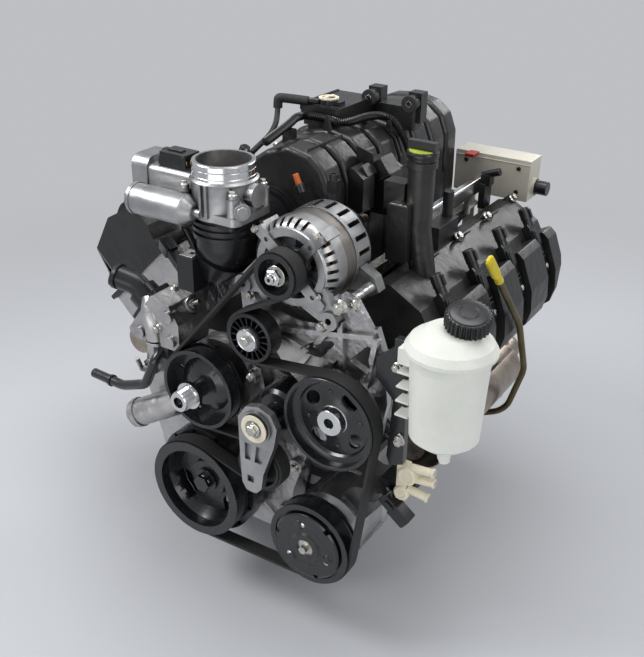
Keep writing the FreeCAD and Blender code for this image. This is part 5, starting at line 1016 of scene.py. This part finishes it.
# %% Blades, side boxes and plugs of the intake
side_parts = Shape()
side_parts.loft([[(92, -461, 528), (96, -461, 528), (96, -343, 528), (92, -343, 528)],
                 [(93, -452, 547), (95.4, -452, 547), (95.4, -352, 547), (93, -352, 547)]], black_nylon)
pad(side_parts, (157, -376, 507), (0, 1, 0), (0.8, 0, 0.6), 15, 10, -12, 4, 3, black_nylon)
pad(side_parts, (172, -340, 508), (0, 1, 0), (0.8, 0, 0.6), 19, 15, -16, 6, 4, black_nylon)
side_parts.box((152, -486, 500), (168, -472, 520), gloss_nylon)
side_parts.turned([(6.5, 519), (6.5, 529), (5, 529), (5, 527)], (160, -480, 0), SKY, gloss_nylon, 24)
side_parts.turned([(8.5, 0), (8.5, 12), (7, 13)], (106, -482, 491), (-0.4, 0, 0.9), gloss_nylon, 28)
side_parts.turned([(4.6, 10), (4.6, 28), (4.0, 28.6)], (106, -482, 491), (-0.4, 0, 0.9), orange_rubber, 24)
side_parts.piece("intake_side_details", "engine", SLOT_OF["intake_manifold"], edge_mm=0.8)
print("intake side details")

# %% [markdown]
# ## Fluid reservoir
# The white bottle is blow moulded, with ribs and tabs that hold it to its bracket. Its black cap has coarse grip
# teeth. An array of ridges could stand round it; letting the radius of one ring step in and out gives the same
# teeth as one closed solid. Turned rings finish the top of the cap.

# %% Reservoir cap
CAP_BASE, CAP_AXIS = (441, -610, 423), (0.139775, -0.217428, 0.966016)


def toothed_ring(spot, axis, outer, inner, teeth, height):
    """Ring of points that steps between two radii, four points to a tooth."""
    basis = frame_of(axis)
    ring = []
    for k in range(teeth * 4):
        a = 2 * pi * k / (teeth * 4)
        r = outer if k % 4 < 2 else inner
        ring.append(Vector(spot) + basis @ Vector((r * cos(a), r * sin(a), height)))
    return ring


cap = Shape()
TEETH = 28
cap.loft([toothed_ring(CAP_BASE, CAP_AXIS, r, r - d, TEETH, h) for r, d, h in
          ((28.4, 0.6, -4), (30.2, 2.6, -3), (30.2, 2.8, 13), (28.8, 1.6, 15.4), (26.4, 0.2, 16.6),
           (24.6, 0, 16.6))], gloss_nylon)
cap.turned([(24.8, 16.2), (24.8, 17.4), (23.6, 18.0), (13.2, 18.0), (12.6, 17.2), (11.2, 17.2), (10.6, 18.0),
            (2, 18.2)], CAP_BASE, CAP_AXIS, gloss_nylon, 64)
cap.piece("reservoir_cap_toothed", "reservoir_lid", SLOT_OF["reservoir_cap"], ["reservoir_cap"], edge_mm=0.4)
print("cap with", TEETH, "teeth")

# %% Reservoir ribs and tabs
bottle = Shape()
for z in (262, 284, 306, 328):
    bottle.box((352, -622, z), (372, -596, z + 3), milk_plastic)
bottle.box((350, -618, 340), (374, -590, 364), milk_plastic)
bottle.turned([(9, 0), (9, 16), (7.6, 16.6), (7.6, 22)], (426, -619, 236), (0.2, 0, -1), milk_plastic, 28)
bottle.piece("reservoir_seam_and_tabs", "engine", SLOT_OF["fluid_reservoir"], edge_mm=0.6)
bracket_screw_spots = [((352, -602, 350), FRONT, 0.9), ((352, -602, 214), FRONT, 0.9)]
screws("reservoir_screws", "engine", bracket_screw_spots, zinc_plate)
print("reservoir tabs")

# %% [markdown]
# ## Pulleys and tensioner
# The black pulleys are pressed or cast wheels with bright turned parts: a threaded nose on the water pump, a
# hub, rivets, bolts. They could all be cylinders. Profiles turned round the axis show the steps and chamfers
# that catch the light, and each rides on the body that it turns with.

# %% Steering pulley
# A pressed wheel: grooved rim, stepped web with four oval windows cut by a boolean, turned hub, small pips.
STEER_X, _, STEER_Z = STEERING = centre("steering")


def windowed(mesh, cutter_mesh):
    """Mesh with the cutters taken out of it."""
    blank, cutter = in_scene("blank", mesh), in_scene("cutter", cutter_mesh)
    cut = blank.modifiers.new("windows", "BOOLEAN")
    cut.object = cutter
    cut.solver = "EXACT"
    made = shown_mesh(blank)
    bpy.data.objects.remove(cutter)
    return made


web = Shape()
web.turned([(12, 621), (27, 621), (30, 619.4), (57, 619.4), (60, 623), (69.1, 625.6), (69.1, 619.5), (61, 617),
            (58, 613.6), (12, 613.6)], STEERING, FRONT, black_coat, 96, wrap=True)
windows = Shape()
for k in range(4):
    a = radians(55 + 90 * k)
    out, along = Vector((cos(a), 0, sin(a))), Vector((-sin(a), 0, cos(a)))
    middle = Vector(STEERING) + out * 43.5
    windows.loft([[middle + Vector((0, y, 0)) + out * 10.5 * cos(t) + along * 13.5 * sin(t)
                   for t in (2 * pi * i / 40 for i in range(40))] for y in (-640, -600)], black_coat)
cut_web = windowed(web.mesh("steering_web"), windows.mesh("window_cutters"))
place(finished("steering_web", cut_web, 32.0, 0.6, 2), "steering_spindle", SLOT_OF["steering_pulley"],
      ["steering_pulley"])
wheel = Shape()
wheel.turned([(68.1, 640), (73.0, 640), (74.1, 639), (74.1, 637.5), (71.5, 637.3), (71.5, 610.2), (74.1, 610),
              (74.1, 606.8), (73.3, 606), (68.1, 606)], STEERING, FRONT, black_coat, 96, wrap=True)
wheel.turned([(8, 634), (19, 634), (20.2, 633), (21.6, 622), (23.5, 620.6), (23.5, 611), (12, 604), (8, 604)],
             STEERING, FRONT, turned_alloy, 64, wrap=True)
wheel.turned([(12, 532), (12, 606)], STEERING, FRONT, ground_steel, 40)
# Painted shade: a dark disc in the bore of the hub.
wheel.turned([(7.9, 625), (7.9, 626)], STEERING, FRONT, hole_shade_paint, 32)
for k in range(4):
    a = radians(10 + 90 * k)
    wheel.turned([(4, 618.5), (3.8, 620.4), (2.6, 621)],
                 (STEER_X + 44 * cos(a), 0, STEER_Z + 44 * sin(a)), FRONT, black_coat, 24)
wheel.piece("steering_rim_and_hub", "steering_spindle", SLOT_OF["steering_pulley"], edge_mm=0.4)
print("steering pulley with", len(cut_web.polygons), "web faces")

# %% Threads, rings, rivets
nose = Shape()
profile = [(15.2, 661.5)]
for k in range(9):
    profile += [(16.6, 662.6 + 2.2 * k), (15.6, 663.7 + 2.2 * k)]
profile += [(14.8, 683.2), (10, 683.2), (10, 661.5)]
nose.turned(profile, centre("pump"), FRONT, turned_alloy, 64, wrap=True)
nose.piece("fan_thread", "water_pump", "machined_aluminium", edge_mm=0)
arm = Shape()
PIVOT = (144, 0, 185)
arm.turned([(14.2, 663.5), (23, 663.5), (22.4, 665.2), (14.8, 665.2)], PIVOT, FRONT, ivory_nylon, 56, wrap=True)
arm.turned([(11.5, 663.8), (11.5, 665.6), (10.5, 666.2)], PIVOT, FRONT, zinc_plate, 40)
arm.hexagon(PIVOT, FRONT, 16, 666, 673, zinc_plate, 10)
arm.piece("tensioner_ring_and_bolt", "tensioner", "machined_aluminium", edge_mm=0.4)
idler = Shape()
idler.turned([(17.2, 643.5), (17.2, 646), (15.4, 647), (13.6, 646.4), (9, 646.4)], centre("idler"), FRONT,
             turned_alloy, 56)
idler.hexagon(centre("idler"), FRONT, 13, 646, 652.5, zinc_plate, 8)
idler.piece("idler_cap", "idler", "machined_aluminium", edge_mm=0.3)
clutch = Shape()
CLUTCH_X, _, CLUTCH_Z = CLUTCH = centre("compressor")
for k in range(3):
    a = radians(100 + 120 * k)
    spot = (CLUTCH_X + 40 * cos(a), 0, CLUTCH_Z + 40 * sin(a))
    clutch.turned([(4.4, 645.8), (4.4, 646.6), (3.0, 647.6), (1.0, 648.0)], spot, FRONT, turned_alloy, 28)
clutch.turned([(33, 646.05), (35, 646.5), (37, 646.05), (35, 645.8)], CLUTCH, FRONT, black_coat, 72, wrap=True)
clutch.piece("clutch_rivets", "compressor_clutch", "plated_steel", edge_mm=0.2)
bolt = Shape()
bolt.turned([(14, 615), (14, 618), (12.5, 619)], centre("crank"), FRONT, zinc_plate, 40)
bolt.piece("damper_washer", "crank", "plated_steel", edge_mm=0.3)
print("threads, rings and rivets")

# %% [markdown]
# ## Connectors and small fittings
# Nylon plugs, plated studs and the outlet's cast bulge sit round the front and beside the filler tube. They
# could be single boxes, but the eye reads them by their outline, so each has the few solids that give it.
# Plates with round corners make the shells, and short rods the mouths of the connectors.

# %% Front fittings
fit = Shape()
fit.box((-13, -627, 411.6), (11, -603, 413.2), zinc_plate)
# Painted shade: a dark square on top of the plate, standing for the shade in an opening.
fit.box((-3, -617, 413.1), (4, -610, 413.5), hole_shade_paint)
plug_line = (Vector((-10, -612, 372)) - Vector((-92, -572, 398))).normalized()
for spot, *sizes in (((-52, -591.5, 385.3), 40, 8, -7, 6, 3), ((-78, -578.8, 393.5), 15, 10.5, -9.5, 8.5, 3),
                     ((-70, -583, 391), 9, 3.5, 8, 11, 1)):
    pad(fit, spot, plug_line, (0.3, -0.2, 1), *sizes, gloss_nylon)
fit.rod((-171, -575, 165), (-174, -562, 136), 4.2, zinc_plate, 20)
fit.pipe(curve_through([(-174, -562, 138), (-164, -567, 142), (-150, -569, 150), (-140, -568, 152)], 2), 5.2,
         black_coat, 18)
fit.turned([(9.5, 565.5), (9.5, 570), (8.4, 571)], (-150, 0, 150), FRONT, black_coat, 32)
fit.hexagon((-150, 0, 150), FRONT, 12, 570.5, 578, zinc_plate, 20)
STUD, STUD_AXIS = (-54.6, -561.3, 292.4), (0.84, 0, 0.54)
fit.turned([(8, 0), (8, 7), (6.6, 8)], STUD, STUD_AXIS, zinc_plate, 6)
fit.rod(STUD, (-36, -561.3, 304.4), 3.6, zinc_plate, 20)
outlet = Shape()
bulge = curve_through([(-116, -584, 296), (-108, -597, 280), (-101, -600, 262), (-99, -598, 236)], 3)
outlet.pipe(bulge, 16.5, cast_alloy, 36)
outlet.turned([(17.6, 0), (17.6, 5), (16.4, 6)], (-99, -598, 233), (0, 0, -1), cast_alloy, 40)
outlet.turned([(13, -4), (13, 3), (11.5, 4.2), (8, 4.2)], STUD, STUD_AXIS, cast_alloy, 36)
outlet.piece("water_outlet_bulge", "engine", SLOT_OF["water_outlet_housing"], edge_mm=0.8)
fit.piece("front_fittings", "engine", "plated_steel", edge_mm=0.4)
plugs = Shape()
plugs.box((350, -600, 108), (366, -584, 168), ivory_nylon)
for (x, z), r in (((366, 152), 15), ((359, 120), 12)):
    plugs.turned([(r, 586), (r, 601), (r - 2, 603), (r - 5, 603), (r - 6, 601.6), (2, 601.6)], (x, 0, z), FRONT,
                 ivory_nylon, 40)
for start, end in (((370, -592, 164), (404, -590, 166)), ((372, -590, 145), (404, -586, 146)),
                   ((366, -594, 127), (398, -591, 121))):
    plugs.rod(start, end, 6.2, ivory_nylon, 28)
    tip = Vector(end)
    away = (tip - Vector(start)).normalized()
    plugs.rod(tip - away * 3, tip + away * 0.6, 7.2, ivory_nylon, 28)
    plugs.rod(tip, tip + away * 0.9, 4.2, zinc_plate, 24)
plugs.piece("ivory_connectors", "engine", "white_plastic", edge_mm=0.8)
sensor = Shape()
sensor.rod((330, -592, 108), (345, -600, 101), 8, gloss_nylon, 28)
for spot, *sizes in (((352, -602, 92), 25, 9, -9, 8, 3), ((362, -602, 84.5), 16, 11, -10.5, 9.5, 3),
                     ((346, -602, 96.5), 9, 4, 7, 11, 1)):
    pad(sensor, spot, (1, 0, -0.75), FRONT, *sizes, gloss_nylon)
sensor.piece("compressor_sensor", "engine", "black_plastic", edge_mm=0.6)
print("front fittings and connectors")

# %% Fittings beside the filler tube
filler = Shape()
filler.box((226, -436, 396), (260, -404, 484), black_nylon)
filler.box((229, -434, 483.8), (257, -408, 485.4), zinc_plate)
# Painted shade: a dark disc for the hole in the plate.
filler.turned([(3.4, 485.2), (3.4, 485.8)], (243, -421, 0), SKY, hole_shade_paint, 24)
filler.box((236, -332, 376), (264, -262, 420), black_nylon)
filler.turned([(9, 418), (9, 462), (7.4, 463.4), (6.6, 462)], (248, -272, 0), SKY, gloss_nylon, 28)
# Painted shade: a dark disc inside the mouth of the stub.
filler.turned([(6.4, 461.9), (6.4, 462.6)], (248, -272, 0), SKY, hole_shade_paint, 24)
filler.box((214, -70, 366), (226, -40, 412), black_nylon)
filler.rod((214, -56, 424), (246, -56, 436), 7, gloss_nylon, 28)
filler.box((214, -66, 408), (232, -46, 428), gloss_nylon)
filler.piece("filler_side_fittings", "engine", "black_plastic", edge_mm=0.8)
lid = Shape()
LID_X, LID_Y = 262, -403
LID_AXIS = (LID_X, LID_Y, 0)
lid.turned([(20.5, 561.6), (20.5, 562.9), (19.6, 563.3), (3, 563.3)], LID_AXIS, SKY, lime_disc, 56)
lid.turned([(23.2, 553.5), (23.6, 555), (23.6, 560.4), (22.6, 562.2), (20.8, 562.2)], LID_AXIS, SKY, gloss_nylon,
           64)
lid.loft([[(LID_X + u, LID_Y + v, z) for u, v in rounded_outline(w, 3.6, 3.2)]
          for w, z in ((21, 562.5), (21, 568), (19.5, 572.5), (16, 575), (11, 576))], gloss_nylon)
lid.piece("filler_cap_disc", "filler_lid", SLOT_OF["oil_filler_cap"], edge_mm=0.2)
bar = Shape()
BAR_SECTION = ((199, 393), (212, 393), (214, 396), (214, 417), (212, 420), (201, 420), (199, 417))
bar.loft([[(x, y, z) for x, z in BAR_SECTION] for y in (-374, -46)], turned_alloy)
for y in (-340, -215, -90):
    bar.loft([[(193, y + d, 358), (203, y + d, 395), (211, y + d, 395), (201, y + d, 358)] for d in (-8, 8)],
             die_cast)
bar.hexagon((206.5, -374, 406), FRONT, 19, 0, 6, zinc_plate)
bar.piece("fuel_rail_bar", "engine", SLOT_OF["fuel_rail"], edge_mm=0.8)
box_marks = Shape()
for x, z in ((262, 432), (158, 432), (262, 388)):
    box_marks.turned([(4.2, 7.5), (4.2, 9.2), (3.2, 10)], (x, 0, z), FRONT, black_coat, 20)
box_marks.box((136.5, -9.2, 440), (283.5, -7.5, 441.2), cream_sheet)
box_marks.piece("rear_box_screws", "engine", "cream_steel", edge_mm=0.3)
tag = Shape()
tag.box((166, -36, 446), (184, -10, 452), red_nylon)
tag.piece("red_tag", "engine", "black_plastic", edge_mm=0.8)
print("fittings beside the filler tube")

# %% Dipstick handle
# A flat moulded paddle on a collar, in line with the end of the guide tube.
DIP_START, DIP_NEXT = Vector((378, -350, 366)), Vector((389, -268, 262))
DIP_AXIS = (DIP_START - DIP_NEXT).normalized()
DIP_THIN = Vector((0, 0, 1)).cross(DIP_AXIS).normalized()
DIP_WIDE = DIP_AXIS.cross(DIP_THIN)
DIP_PADDLE = ((10, 5.5, 5.2), (16, 7.5, 4.8), (22, 9, 4.2), (26, 9, 3.8), (54, 9, 3.6), (60, 8.4, 3.4),
              (63, 6, 3.0), (64, 3.5, 2.4))
DIP_PANEL = ((28, 6.2), (29, 6.6), (51, 6.6), (52, 6.2))


def dip_ring(height, half_wide, half_thin, corner):
    """Rounded ring across the handle at a height on its axis."""
    return [DIP_START + DIP_AXIS * height + DIP_WIDE * u + DIP_THIN * v
            for u, v in rounded_outline(half_wide, half_thin, corner)]


handle = Shape()
handle.rod(DIP_START - DIP_AXIS * 80, DIP_START + DIP_AXIS * 2, 3.5, ground_steel, 20)
handle.rod(DIP_START + DIP_AXIS * 0.3, DIP_START + DIP_AXIS * 12, 7, yellow_plastic, 32, 6.4)
handle.loft([dip_ring(h, w, t, t * 0.9) for h, w, t in DIP_PADDLE], yellow_plastic)
handle.loft([dip_ring(h, w, 4.4, 1.0) for h, w in DIP_PANEL], yellow_plastic)
handle.piece("dipstick_handle", "dipstick", SLOT_OF["dipstick"], ["dipstick"], edge_mm=0.3)
print("dipstick handle")

# %% [markdown]
# ## Sides and underside
# The sides have what an engine on a stand shows: pressed core plugs in the block and nuts along the exhaust
# manifolds. The plugs could be discs; a turned dish has the raised rim that a pressed plug has. The nuts are the
# same screw heads as before, so they come from the same tree.

# %% Core plugs and manifold nuts
core = Shape()
for sign in (-1, 1):
    for y in BORE_Y[:3]:
        shift = 56 + (STAGGER if sign < 0 else 0)
        spot = (sign * 120.0, y + shift, -30)
        core.turned([(17, 0), (17, 9.2), (15.4, 9.6), (14.2, 8.6), (2, 8.6)], spot, (sign, 0, 0), zinc_plate, 40)
core.piece("core_plugs", "engine", "plated_steel", edge_mm=0.3)
manifold_nuts = []
for side in ("left", "right"):
    for y in BORE_Y:
        for offset in (-27, 27):
            manifold_nuts.append((on_bank(side, 94, y + offset, 300), bank_axis(side, 1, 0), 0.9))
screws("manifold_nuts", "engine", manifold_nuts, zinc_plate)
print("core plugs and", len(manifold_nuts), "manifold nuts")
